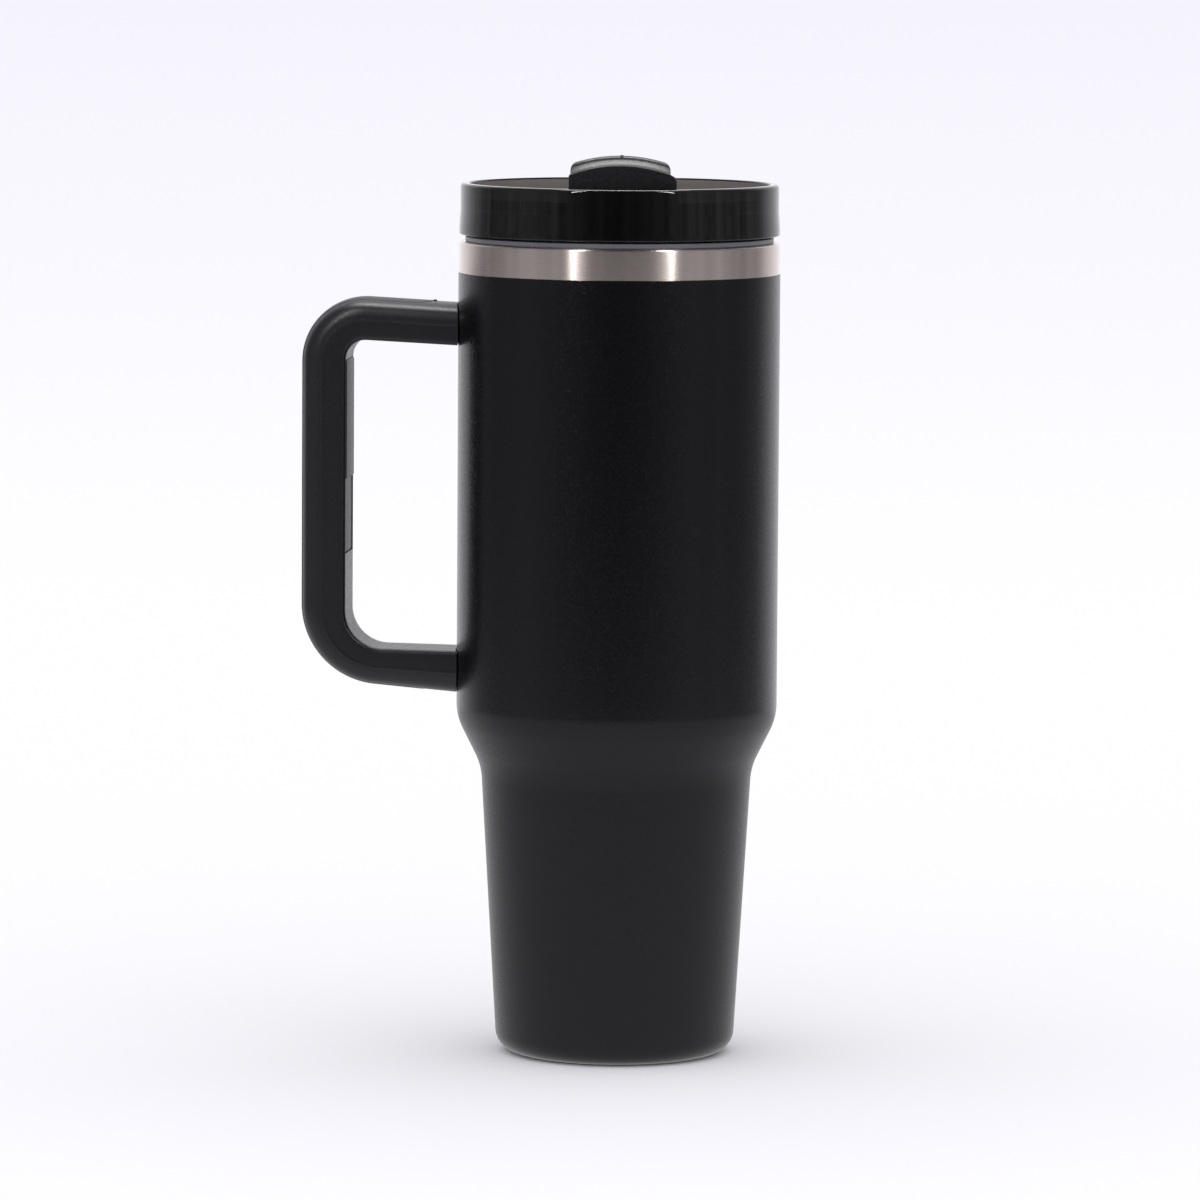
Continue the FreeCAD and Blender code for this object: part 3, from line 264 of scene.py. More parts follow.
for n, k in (("inner_liner", "liner"), ("liner_bottom", "liner"), ("vacuum_base", "mill"), ("vacuum_seal_bead", "glass"),
             ("base_cap", "powder"), ("getter_clip", "mill"), ("getter", "getter"), ("handle_frame", "handle"),
             ("outer_grip_pad", "pad"), ("inner_grip_pad", "pad"), ("upper_handle_tang", "mill"), ("lower_handle_tang", "mill"),
             ("handle_screws", "screw"), ("lid_body", "smoke"), ("straw_seal", "gasket"), ("cover_pivot_pin", "cover"),
             ("pivot_o_ring", "gasket"), ("cover_seal", "gasket"), ("outer_wall", "powder"), ("lid_gasket", "gasket"),
             ("rotating_cover", "cover")):
    dress(n, MAT[k])


# ------------------------------------------------------------------ mesh helpers (millimetres in, metres out)
def rounded(pts, n=10, closed=True):
    """Outline with its corners (x, y, r) replaced by arcs."""
    out = []
    m = len(pts)
    for k in range(m):
        p = pts[k]
        if len(p) < 3 or p[2] <= 0:
            out.append((p[0], p[1]))
            continue
        V = Vector((p[0], p[1]))
        A = Vector(pts[k - 1][:2])
        C = Vector(pts[(k + 1) % m][:2])
        u, w = (A - V).normalized(), (C - V).normalized()
        ang = math.acos(max(-1, min(1, u.dot(w))))
        t = p[2] / math.tan(ang / 2)
        c = V + (u + w).normalized() * (p[2] / math.sin(ang / 2))
        t1, t2 = V + u * t, V + w * t
        a1 = math.atan2(t1.y - c.y, t1.x - c.x)
        a2 = math.atan2(t2.y - c.y, t2.x - c.x)
        d = (a2 - a1 + math.pi) % (2 * math.pi) - math.pi
        for i in range(n + 1):
            a = a1 + d * i / n
            out.append((c.x + p[2] * math.cos(a), c.y + p[2] * math.sin(a)))
    return out


def finish_mesh(name, verts, faces, mats, face_mats=None, sharp=35.0):
    me = bpy.data.meshes.new(name)
    me.from_pydata([tuple(c * MM for c in v) for v in verts], [], faces)
    for m in mats:
        me.materials.append(m)
    if face_mats:
        for p, k in zip(me.polygons, face_mats):
            p.material_index = k
    bm = bmesh.new()
    bm.from_mesh(me)
    bmesh.ops.recalc_face_normals(bm, faces=bm.faces)
    bm.to_mesh(me)
    bm.free()
    for p in me.polygons:
        p.use_smooth = True
    me.set_sharp_from_angle(angle=math.radians(sharp))
    o = bpy.data.objects.new(name, me)
    bpy.context.scene.collection.objects.link(o)
    return o


def lathe(name, prof, mats, pick=None, segs=288, sharp=35.0):
    """Closed outline (r, z) turned about Z. pick(r, z) gives a face's material index."""
    verts, faces, fm = [], [], []
    ring = []
    for r, z in prof:
        if r < 1e-6:
            ring.append([len(verts)] * segs)
            verts.append((0, 0, z))
        else:
            ring.append(list(range(len(verts), len(verts) + segs)))
            for i in range(segs):
                a = 2 * math.pi * i / segs
                verts.append((r * math.cos(a), r * math.sin(a), z))
    n = len(prof)
    for k in range(n):
        a, b = ring[k], ring[(k + 1) % n]
        if a[0] == a[1] and b[0] == b[1]:
            continue
        rm, zm = (prof[k][0] + prof[(k + 1) % n][0]) / 2, (prof[k][1] + prof[(k + 1) % n][1]) / 2
        idx = pick(rm, zm) if pick else 0
        for i in range(segs):
            j = (i + 1) % segs
            f = [a[i], a[j], b[j], b[i]]
            f = [x for q, x in enumerate(f) if x not in f[:q]]
            if len(f) >= 3:
                faces.append(f)
                fm.append(idx)
    return finish_mesh(name, verts, faces, mats, fm, sharp)


# ------------------------------------------------------------------ cup body
COAT_Z, LIP_Z = 240.4, 249.8
body_profile = rounded([
    (26.0, 0, 0.6), (36.46, 0, 6.6), (41.64, 88.47, 20.0), (49.3, 103.8, 18.0), (49.3, COAT_Z, 0.14),
    (49.15, COAT_Z + 0.03), (49.15, LIP_Z, 0.8), (45.8, LIP_Z), (45.8, LIP_Z - 0.8), (48.5, LIP_Z - 0.8, 0.3),
    (48.5, 104.0, 17.2), (40.84, 88.5, 20.8), (35.66, 0.8, 5.8), (26.8, 0.8), (26.8, 3.0), (26.0, 3.0),
], 14)


def split_long(prof, step):
    """Cuts the outline's long straight runs into shorter ones."""
    out = []
    for k, a in enumerate(prof):
        b = prof[(k + 1) % len(prof)]
        out.append(a)
        d = math.hypot(b[0] - a[0], b[1] - a[1])
        n = int(d // step)
        for i in range(1, n):
            out.append((a[0] + (b[0] - a[0]) * i / n, a[1] + (b[1] - a[1]) * i / n))
    return out


def body_pick(r, z):
    inside = r < 48.6 and z > 1.0 and not (z < 96 and r > 40.9 + (z - 88) * 0.1)
    if z > COAT_Z + 0.005:
        return 1
    return 0


body = lathe("cup_outer_wall", split_long(body_profile, 6.0), [MAT["powder"], MAT["steel"]], body_pick, 384)
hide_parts("outer_wall")
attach(body, "cup")

# ------------------------------------------------------------------ lid gasket
g_lo, g_hi = 249.85, 251.42
gasket = lathe("lid_gasket_ring", rounded([
    (43.72, g_hi), (47.2, g_hi, 0.35), (47.2, g_lo, 0.3), (44.75, g_lo), (44.75, 247.65, 0.3), (43.72, 247.65, 0.25),
], 8), [MAT["gasket"]], None, 320)
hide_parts("lid_gasket")
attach(gasket, "gasket")


# ------------------------------------------------------------------ general solids
def join(objs, name):
    """One object from several, keeping each one's materials."""
    bm = bmesh.new()
    mats = []
    for o in objs:
        base = {}
        for i, m in enumerate(o.data.materials):
            if m not in mats:
                mats.append(m)
            base[i] = mats.index(m)
        tmp = bmesh.new()
        tmp.from_mesh(o.data)
        tmp.transform(o.matrix_world)
        for f in tmp.faces:
            f.material_index = base.get(f.material_index, 0)
        me = bpy.data.meshes.new("tmp")
        tmp.to_mesh(me)
        tmp.free()
        bm.from_mesh(me)
        bpy.data.meshes.remove(me)
    me = bpy.data.meshes.new(name)
    bm.to_mesh(me)
    bm.free()
    for m in mats:
        me.materials.append(m)
    for o in objs:
        bpy.data.objects.remove(o)
    o = bpy.data.objects.new(name, me)
    bpy.context.scene.collection.objects.link(o)
    return o


def smooth(o, sharp=35.0):
    for p in o.data.polygons:
        p.use_smooth = True
    o.data.set_sharp_from_angle(angle=math.radians(sharp))


def loft(name, rings, mats, caps=True, sharp=35.0, pick=None):
    """Skin over rings of the same number of points (millimetres)."""
    verts, faces, fm = [], [], []
    n = len(rings[0])
    for r in rings:
        verts.extend(r)
    for k in range(len(rings) - 1):
        for i in range(n):
            j = (i + 1) % n
            faces.append([k * n + i, k * n + j, (k + 1) * n + j, (k + 1) * n + i])
            fm.append(pick(k, i) if pick else 0)
    if caps:
        for k in (0, len(rings) - 1):
            ring = list(range(k * n, k * n + n))
            c = len(verts)
            pts = rings[k]
            verts.append(tuple(sum(p[a] for p in pts) / n for a in range(3)))
            for i in range(n):
                faces.append([c, ring[i], ring[(i + 1) % n]])
                fm.append(pick(k, 0) if pick else 0)
    return finish_mesh(name, verts, faces, mats, fm, sharp)


def prism(name, outline, lo, hi, axis, mats, edge=0.3, steps=3, sharp=40.0):
    """Outline pushed from lo to hi along an axis, both of its end edges rounded."""
    def inset(pts, d):
        n = len(pts)
        out = []
        area = sum(pts[k][0] * pts[(k + 1) % n][1] - pts[(k + 1) % n][0] * pts[k][1] for k in range(n))
        sgn = 1 if area > 0 else -1
        for k in range(n):
            a, p, b = Vector(pts[k - 1]), Vector(pts[k]), Vector(pts[(k + 1) % n])
            u, w = (p - a).normalized(), (b - p).normalized()
            nu, nw = Vector((-u.y, u.x)) * sgn, Vector((-w.y, w.x)) * sgn
            m = nu + nw
            if m.length < 1e-6:
                m = nu
            m.normalize()
            c = max(0.35, m.dot(nu))
            out.append(tuple(p + m * (d / c)))
        return out

    rings = []
    for i in range(steps + 1):
        a = math.pi / 2 * i / steps
        rings.append((inset(outline, edge * (1 - math.sin(a))), lo + edge * (1 - math.cos(a))))
    for i in range(steps + 1):
        a = math.pi / 2 * (1 - i / steps)
        rings.append((inset(outline, edge * (1 - math.sin(a))), hi - edge * (1 - math.cos(a))))
    put = {"x": lambda p, h: (h, p[0], p[1]), "y": lambda p, h: (p[0], h, p[1]), "z": lambda p, h: (p[0], p[1], h)}[axis]
    verts, faces = [], []
    n = len(outline)
    for pts, h in rings:
        verts.extend(put(p, h) for p in pts)
    for k in range(len(rings) - 1):
        for i in range(n):
            j = (i + 1) % n
            faces.append([k * n + i, k * n + j, (k + 1) * n + j, (k + 1) * n + i])
    faces.append(list(range(n)))
    faces.append(list(range((len(rings) - 1) * n, len(rings) * n))[::-1])
    return finish_mesh(name, verts, faces, mats, None, sharp)


def carve(o, cutters, sharp=35.0):
    """Cuts the cutters out of o, for good."""
    for c in cutters:
        m = o.modifiers.new("cut", "BOOLEAN")
        m.operation = "DIFFERENCE"
        m.solver = "EXACT"
        m.object = c
    bpy.context.view_layer.update()
    dg = bpy.context.evaluated_depsgraph_get()
    me = bpy.data.meshes.new_from_object(o.evaluated_get(dg))
    o.modifiers.clear()
    o.data = me
    for c in cutters:
        bpy.data.objects.remove(c)
    smooth(o, sharp)


# ------------------------------------------------------------------ handle frame
OUT = [(51.5, 0, 0), (97.4, 233.1, 19.6), (97.4, 114.7, 24.8), (51.5, 0, 0)]
UT = lambda x: 230.5 + (233.1 - 230.5) * (x - 47.0) / 50.4      # upper arm, top line
UL = lambda x: 217.85 + (219.55 - 217.85) * (x - 47.0) / 36.1   # upper arm, lower line
LT = lambda x: 123.9 + (124.55 - 123.9) * (x - 47.0) / 36.1     # lower arm, top line
LL = lambda x: 110.35 + (114.7 - 110.35) * (x - 47.0) / 50.4     # lower arm, lower line


def c_path(x0a, za, xc, z1, r1, z2, r2, x0b, zb, counts):
    """Open path: root, upper corner arc, grip, lower corner arc, root. Points (x, z)."""
    P0, P1, P2, P3 = Vector((x0a, za)), Vector((xc, z1)), Vector((xc, z2)), Vector((x0b, zb))
    pts = []

    def arc(V, A, C, r, n, first):
        u, w = (A - V).normalized(), (C - V).normalized()
        ang = math.acos(u.dot(w))
        t = r / math.tan(ang / 2)
        c = V + (u + w).normalized() * (r / math.sin(ang / 2))
        t1, t2 = V + u * t, V + w * t
        a1 = math.atan2(t1.y - c.y, t1.x - c.x)
        a2 = math.atan2(t2.y - c.y, t2.x - c.x)
        d = (a2 - a1 + math.pi) % (2 * math.pi) - math.pi
        return t1, t2, [Vector((c.x + r * math.cos(a1 + d * i / n), c.y + r * math.sin(a1 + d * i / n))) for i in range(1, n)]

    t1, t2, arc1 = arc(P1, P0, P2, r1, counts[1], True)
    t3, t4, arc2 = arc(P2, P1, P3, r2, counts[3], False)
    seg = lambda a, b, n: [a + (b - a) * (i / n) for i in range(n)]
    pts += seg(P0, t1, counts[0]) + [t1] + arc1 + seg(t2, t3, counts[2]) + [t3] + arc2 + seg(t4, P3, counts[4]) + [P3]
    return pts


CNT = (36, 26, 60, 26, 36)
outer = c_path(51.5, UT(51.5), 97.4, 233.1, 19.6, 114.7, 24.8, 51.5, LL(51.5), CNT)
inner = c_path(51.5, UL(51.5), 83.1, 219.55, 6.0, 124.55, 11.5, 51.5, LT(51.5), CNT)
HD = 10.7


CROWN = 2.6                                                # the section's outer half: 2 is an ellipse, more is boxier


def section(w, seam=0.035):
    """Closed loop (p, y): p from the inner face (-w/2) to the outer (+w/2), y across the handle.
    The outer half is an ellipse, the widest line carries the mould's seam, the inner half is nearly flat."""
    ri, ci = 1.3, 0.16
    half = w / 2
    loop = []
    for i in range(-22, 23):                               # outer half, from front to back
        a = (math.pi / 2 - 0.012) * i / 22
        c, s_ = math.cos(a), math.sin(a)
        loop.append((half * c ** (2 / CROWN), HD * math.copysign(abs(s_) ** (2 / CROWN), s_)))
    side = [(0.05, seam), (-0.05, seam), (-0.16, 0.0)] + [((-half + ri) * i / 5, 0.0) for i in range(1, 5)]
    dep = lambda p: HD - ci * (p / (-half + ri)) ** 2
    for p, up in side:
        loop.append((p, dep(min(0.0, p)) + up))
    for i in range(0, 6):
        a = math.pi / 2 * i / 5
        loop.append((-half + ri - ri * math.sin(a), (HD - ci - ri) + ri * math.cos(a)))
    for i in range(1, 8):
        loop.append((-half, (HD - ci - ri) - 2 * (HD - ci - ri) * i / 8))
    for i in range(5, -1, -1):
        a = math.pi / 2 * i / 5
        loop.append((-half + ri - ri * math.sin(a), -(HD - ci - ri) - ri * math.cos(a)))
    for p, up in side[::-1]:
        loop.append((p, -(dep(min(0.0, p)) + up)))
    return loop


rings = []
for k, (O, I) in enumerate(zip(outer, inner)):
    w = (O - I).length
    e = (O - I) / w
    C = (O + I) / 2
    ring = [(-(C.x + e.x * p), y, C.y + e.y * p) for p, y in section(w)]
    if k in (0, len(outer) - 1):
        up = k == 0
        end = []
        for (x, y, z) in ring:
            xs = math.sqrt(49.65 ** 2 - y * y)
            f = (z - (UL(-x) if up else LL(-x))) / ((UT(-x) - UL(-x)) if up else (LT(-x) - LL(-x)))
            zz = (UL(xs) + f * (UT(xs) - UL(xs))) if up else (LL(xs) + f * (LT(xs) - LL(xs)))
            end.append((-xs, y, zz))
        if up:
            rings.append(end)
            rings.append(ring)
        else:
            rings.append(ring)
            rings.append(end)
    else:
        rings.append(ring)
handle = loft("handle_frame_moulding", rings, [MAT["handle"]])


# ------------------------------------------------------------------ soft pads
def pad_rings(tip_a, tip_b, half, out, deep, grow=0.0, edge=0.35):
    """Rings of a strip that follows the handle's outer outline, with rounded tips."""
    R = half - 0.15 + grow
    path = c_path(tip_a - grow, UT(tip_a - grow), 97.4, 233.1, 19.6, 114.7, 24.8, tip_b - grow, LL(tip_b - grow), (60, 30, 60, 30, 60))
    # arc length
    S = [0.0]
    for a, b in zip(path, path[1:]):
        S.append(S[-1] + (b - a).length)
    L = S[-1]
    want = []
    nt = 26
    for i in range(nt):
        want.append(R * (1 - math.cos(math.pi / 2 * (i + 0.15) / nt)))
    m = 150
    for i in range(m + 1):
        want.append(R + (L - 2 * R) * i / m)
    for i in range(nt - 1, -1, -1):
        want.append(L - R * (1 - math.cos(math.pi / 2 * (i + 0.15) / nt)))
    rings = []
    j = 0
    for s in want:
        while j < len(S) - 2 and S[j + 1] < s:
            j += 1
        a, b = path[j], path[j + 1]
        t = (s - S[j]) / max(1e-9, S[j + 1] - S[j])
        p = a + (b - a) * t
        # tangent smoothed from the neighbours
        ta = (path[min(j + 1, len(path) - 1)] - path[j]).normalized()
        tb = (path[min(j + 2, len(path) - 1)] - path[min(j + 1, len(path) - 2)]).normalized()
        tc = (path[j] - path[max(j - 1, 0)]).normalized() if j > 0 else ta
        d0, d1 = (tc + ta).normalized(), (ta + tb).normalized()
        d = (d0 + (d1 - d0) * t).normalized()
        nrm = Vector((-d.y, d.x))
        if nrm.dot(p - Vector((70.0, 172.0))) < 0:
            nrm = -nrm
        ds = min(s, L - s)
        hw = half + grow if ds >= R else math.sqrt(max(0.01, R * R - (R - ds) ** 2)) + 0.15
        e = min(edge, hw * 0.4)
        sag = lambda y: -7.0 * (1 - (1 - abs(y / HD) ** CROWN) ** (1 / CROWN))
        prof = []
        for i in range(5):
            an = math.pi / 2 * i / 4
            y = -hw + e - e * math.cos(an)
            prof.append((y, out - e + e * math.sin(an) + sag(y)))
        for i in range(1, 12):
            y = -hw + e + 2 * (hw - e) * i / 12
            prof.append((y, out + sag(y)))
        for i in range(4, -1, -1):
            an = math.pi / 2 * i / 4
            y = hw - e + e * math.cos(an)
            prof.append((y, out - e + e * math.sin(an) + sag(y)))
        prof.append((hw, -deep + sag(hw)))
        for i in range(11, 0, -1):
            y = -hw + 2 * hw * i / 12
            prof.append((y, -deep + sag(y)))
        prof.append((-hw, -deep + sag(hw)))
        rings.append([(-(p.x + nrm.x * h), y, p.y + nrm.y * h) for y, h in prof])
    return rings


outer_pad = loft("outer_soft_pad", pad_rings(57.3, 59.0, 6.1, 0.12, 1.5, 0.0, 0.28), [MAT["pad"]])
cut_a = loft("cut_a", pad_rings(57.3, 59.0, 6.1, 2.5, 1.6, 0.13, 0.01), [MAT["handle"]])
cut_b = prism("cut_b", [(-(83.1 + 2.0), 153.4), (-79.0, 153.4), (-79.0, 213.2), (-(83.1 + 2.0), 213.2)], -9.45, 9.45, "y", [MAT["handle"]], 0.02, 1)
carve(handle, [cut_a, cut_b])

inner_pad = prism("inner_soft_pad", rounded([
    (-85.0, 153.5, 0.8), (-(83.1 + 0.35), 153.5, 0.3), (-(83.1 + 0.35), 176.1, 0.4), (-(83.1 - 0.3), 176.7, 0.5),
    (-(83.1 - 0.3), 212.5, 0.6), (-(83.1 + 0.3), 213.1, 0.3), (-85.0, 213.1, 0.8),
], 6), -9.3, 9.3, "y", [MAT["pad"]], 0.4, 4)

# moulding gate, just past the pad's upper tip
nub = lathe("gate_nub", rounded([(0.0, -0.6), (0.55, -0.6), (0.55, 0.42, 0.12), (0.0, 0.42)], 4), [MAT["handle"]], None, 24)
nub.location = (-0.0567, 0.0, UT(56.7) * MM)
bpy.context.view_layer.update()
handle = join([handle, nub], "handle_frame_moulding")
smooth(handle)
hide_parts("handle_frame")
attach(handle, "cup")
for o, n in ((outer_pad, "outer_grip_pad"), (inner_pad, "inner_grip_pad")):
    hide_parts(n)
    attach(o, "cup")

# ------------------------------------------------------------------ turning cover, drawn in the lid's own frame
LIDM = Matrix.Rotation(LID_TURN, 4, "Z")
CL, CT = 261.0, 263.2


def disc():
    """The cover's disc with its bore, window and stop notch, on a polar grid."""
    radii = [3.0, 6.0, 10.0, 16.0, 24.0, 32.0, 40.5, 42.0, 43.3, 44.3, 45.3]
    angs = []
    a = 0.0
    marks = sorted([13.0, 47.0, 31.5, 148.5])
    base = [i * 1.25 for i in range(288)]
    angs = sorted(set([round(x, 4) for x in base if min(abs(x - m) for m in marks) > 0.4] + marks))
    n = len(angs)

    def kept(i, j):
        am = (angs[j] + (angs[(j + 1) % n] if j + 1 < n else 360.0)) / 2
        rm = (radii[i] + radii[i + 1]) / 2
        if 13.0 < am < 47.0 and 16.0 < rm < 40.5:
            return False
        if 31.5 < am < 148.5 and rm > 43.3:
            return False
        return True

    bm = bmesh.new()
    top, bot = {}, {}

    def v(store, i, j, z):
        j %= n
        if (i, j) not in store:
            t = math.radians(angs[j])
            store[(i, j)] = bm.verts.new((radii[i] * math.cos(t) * MM, radii[i] * math.sin(t) * MM, z * MM))
        return store[(i, j)]

    for i in range(len(radii) - 1):
        for j in range(n):
            if not kept(i, j):
                continue
            bm.faces.new([v(top, i, j, CT), v(top, i + 1, j, CT), v(top, i + 1, j + 1, CT), v(top, i, j + 1, CT)])
            bm.faces.new([v(bot, i, j, CL), v(bot, i, j + 1, CL), v(bot, i + 1, j + 1, CL), v(bot, i + 1, j, CL)])
            for di, dj, e in ((0, -1, ((i, j), (i + 1, j))), (0, 1, ((i, j + 1), (i + 1, j + 1))), (-1, 0, ((i, j), (i, j + 1))), (1, 0, ((i + 1, j), (i + 1, j + 1)))):
                ii, jj = i + di, (j + dj) % n
                if 0 <= ii < len(radii) - 1 and kept(ii, jj):
                    continue
                a, b = e
                bm.faces.new([v(top, a[0], a[1], CT), v(top, b[0], b[1], CT), v(bot, b[0], b[1], CL), v(bot, a[0], a[1], CL)])
    bmesh.ops.recalc_face_normals(bm, faces=bm.faces)
    sharp = [e for e in bm.edges if len(e.link_faces) == 2 and e.calc_face_angle(0) > math.radians(50)]
    bmesh.ops.bevel(bm, geom=sharp, offset=0.35 * MM, segments=3, profile=0.5, affect="EDGES")
    me = bpy.data.meshes.new("cover_disc")
    bm.to_mesh(me)
    bm.free()
    me.materials.append(MAT["cover"])
    o = bpy.data.objects.new("cover_disc", me)
    bpy.context.scene.collection.objects.link(o)
    smooth(o, 30)
    return o


TF, TC, TCZ, TLZ, TW, CR = 42.6, 33.0, 277.35, 274.65, 15.1, 46.0
AXZ = TCZ - CR
# front plate: the whole textured face, its arched top edge and both shoulders
lipr = TLZ - AXZ
arch = [(x, AXZ + math.sqrt(lipr ** 2 - x * x)) for x in [TW - 2 * TW * i / 48 for i in range(49)]]
plate_outline = rounded([(-15.6, CT - 0.4), (16.9, CT - 0.4), (16.9, 271.7, 2.0), (15.5, 271.75)], 6) + arch + [(-15.35, 271.9), (-15.6, 271.3)]
plate = prism("tab_plate", plate_outline, -TF, -40.3, "y", [MAT["face"]], 0.28, 4)


def tab_body():
    """Tab behind its front plate: a back wall, a rounded crest and a hollowed top that runs down to the plate."""
    # side profile (distance from the axis, height above the crown's axis), from the back foot over the crest to the front
    hz = lambda z: z - AXZ
    crest = []
    prof = [(33.9, hz(CT) - 0.5), (33.5, hz(266.0)), (32.4, hz(270.5)), (31.75, hz(273.4))]
    # rounded crest
    for i in range(15):
        a = math.radians(172 - 137 * i / 14)
        prof.append((33.7 + 2.05 * math.cos(a) * 1.0 - 0.05, hz(TCZ) - 2.3 + 2.3 * math.sin(a)))
    # hollow running down to the lip
    prof[4:] = [(33.75 - 2.0 * math.cos(math.radians(8 + 137 * i / 14)), hz(TCZ) - 2.3 + 2.3 * math.sin(math.radians(8 + 137 * i / 14))) for i in range(15)]
    x0, z0 = prof[-1]
    x1, z1 = 41.2, hz(TLZ) - 0.22
    for i in range(1, 15):
        t = i / 14
        x = x0 + (x1 - x0) * t
        # eases from the crest's slope into a shallow dip before the lip
        z = z0 + (z1 - z0) * (1 - (1 - t) ** 2.3) - 0.40 * math.sin(math.pi * t) ** 1.3
        prof.append((x, z))
    prof.append((41.2, hz(CT) - 0.5))
    n = len(prof)
    zend = math.sqrt(CR ** 2 - TW ** 2)
    slope = TW / zend
    rr = 2.9

    def round_cap(x):
        """Height limit near the tab's ends, above the crown's axis."""
        ax = abs(x)
        th = math.atan(slope)
        half = (math.pi / 2 - th) / 2
        # circle tangent to x = TW and to the crown's end tangent
        cx = TW - rr
        cz = zend + (TW - cx) * slope - rr / math.cos(th)
        tx = cx + rr * math.sin(th)
        if ax <= tx:
            return 1e9
        d = rr * rr - (ax - cx) ** 2
        return cz + math.sqrt(max(0.0, d))

    xs = []
    m = 60
    for i in range(m + 1):
        xs.append(-TW + 2 * TW * i / m)
    extra = [TW - 0.02, TW - 0.08, TW - 0.18, TW - 0.32, TW - 0.75, TW - 1.0, TW - 1.25]
    xs = sorted(set([round(x, 5) for x in xs + extra + [-e for e in extra]]))
    er = 0.55
    rings = []
    for x in xs:
        ring = []
        # inset near the flat sides rounds their edges
        d = TW - abs(x)
        ins = 0.0
        if d < er:
            ins = er - math.sqrt(max(0.0, er * er - (er - d) ** 2))
        for k, (yy, h) in enumerate(prof):
            z = math.sqrt(max(0.0, h * h - x * x))
            z = min(z, round_cap(x))
            y = yy
            if ins > 0:
                if k <= 3:
                    y = yy + ins
                elif k < 19:
                    y = yy + ins * (1 - (k - 4) / 14)
            ring.append((x, -y, AXZ + z))
        rings.append(ring)
    return loft("tab_body", rings, [MAT["satin"]], True, 50.0)


tab = tab_body()
# gate mark on the crest
mark = lathe("tab_gate", rounded([(0.0, -0.4), (0.62, -0.4), (0.62, 0.10, 0.06), (0.42, 0.10, 0.04), (0.34, -0.02), (0.0, -0.02)], 3), [MAT["satin"]], None, 28)
mark.rotation_euler = (math.radians(28), 0, 0)
mark.location = (0.0004, -0.0345, (TCZ - 0.12) * MM)
bpy.context.view_layer.update()
cover = join([disc(), plate, tab, mark], "turning_cover")
cover.data.transform(LIDM)
bpy.context.view_layer.update()
smooth(cover, 38)
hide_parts("rotating_cover")
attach(cover, "cover")

# ------------------------------------------------------------------ lid body: smoke-clear ring, dark deck and skirt
lid_profile = rounded([
    (0.0, 257.6), (41.4, 257.6, 0.8), (41.4, 230.0, 0.5), (43.6, 230.0, 0.5), (43.6, 251.95, 0.3), (49.15, 251.95, 0.5),
    (49.15, 253.9, 4.0), (48.8, 259.5, 8.0), (48.8, 267.65, 1.1), (46.0, 267.65, 0.5), (46.0, 263.5), (46.0, 260.1, 0.5), (0.0, 260.1),
], 8)


def lid_pick(r, z):
    if r < 46.4 and 263.4 < z < 267.1:
        return 2
    return 0 if (r > 47.9 and z > 251.9) or z > 263.4 else 1


lid = lathe("lid_moulding", split_long(lid_profile, 4.0), [MAT["smoke"], MAT["lid_in"], MAT["smoke_in"]], lid_pick, 384)


def rod(name, x, y, r, z0, z1, segs=64):
    o = lathe(name, [(0.0, z0), (r, z0), (r, z1), (0.0, z1)], [MAT["lid_in"]], None, segs)
    o.location = (x * MM, y * MM, 0)
    return o


def wedge(name, r0, r1, mid, half, z0, z1):
    n = 24
    pts = []
    for i in range(n + 1):
        a = math.radians(mid - half + 2 * half * i / n)
        pts.append((r1 * math.cos(a), r1 * math.sin(a)))
    for i in range(n, -1, -1):
        a = math.radians(mid - half + 2 * half * i / n)
        pts.append((r0 * math.cos(a), r0 * math.sin(a)))
    return prism(name, pts, z0, z1, "z", [MAT["lid_in"]], 0.01, 1)


SX, SY = 24.0 * math.cos(math.radians(-25.0)), 24.0 * math.sin(math.radians(-25.0))
VX, VY = 22.0 * math.cos(math.radians(85.0)), 22.0 * math.sin(math.radians(85.0))
carve(lid, [rod("c1", 0, 0, 3.0, 255.0, 263.0), rod("c2", SX, SY, 6.5, 255.0, 263.0), rod("c3", VX, VY, 1.0, 255.0, 263.0, 24),
            wedge("c4", 31.5, 38.5, 85.0, 13.0, 255.0, 263.0)])


def tube(name, x, y, r0, r1, z0, z1):
    o = lathe(name, rounded([(r0, z0), (r1, z0, 0.3), (r1, z1), (r0, z1)], 4), [MAT["lid_in"]], None, 64)
    o.location = (x * MM, y * MM, 0)
    return o


def ridge(name, start):
    """One ridge of the lid's three-start thread."""
    rings_ = []
    n = 60
    for i in range(n + 1):
        t = i / n
        a = math.radians(start + 144.0 * t)
        fade = min(1.0, t / 0.06, (1 - t) / 0.06)
        tip = 43.45 + 1.35 * math.sqrt(max(0.0, fade))
        z = 234.5 + 12.0 * 0.4 * t
        sec = [(43.4, z - 0.75), (tip - 0.12, z - 0.38), (tip, z - 0.25), (tip, z + 0.25), (tip - 0.12, z + 0.38), (43.4, z + 0.75)]
        rings_.append([(r * math.cos(a), r * math.sin(a), h) for r, h in sec])
    return loft(name, rings_, [MAT["lid_in"]])


bits = [tube("b1", 0, 0, 3.0, 6.0, 252.0, 257.7), tube("b2", SX, SY, 6.5, 8.3, 253.5, 257.7),
        prism("b3", [(-2.0, 43.9), (2.0, 43.9), (2.0, 46.4), (-2.0, 46.4)], 260.0, 262.6, "z", [MAT["lid_in"]], 0.25, 3)]
bits += [ridge("r%d" % i, -60.0 + 120.0 * i) for i in range(3)]
bpy.context.view_layer.update()
lid = join([lid] + bits, "lid_moulding")
smooth(lid, 32)
lid.data.transform(LIDM)
bpy.context.view_layer.update()
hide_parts("lid_body")
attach(lid, "lid")

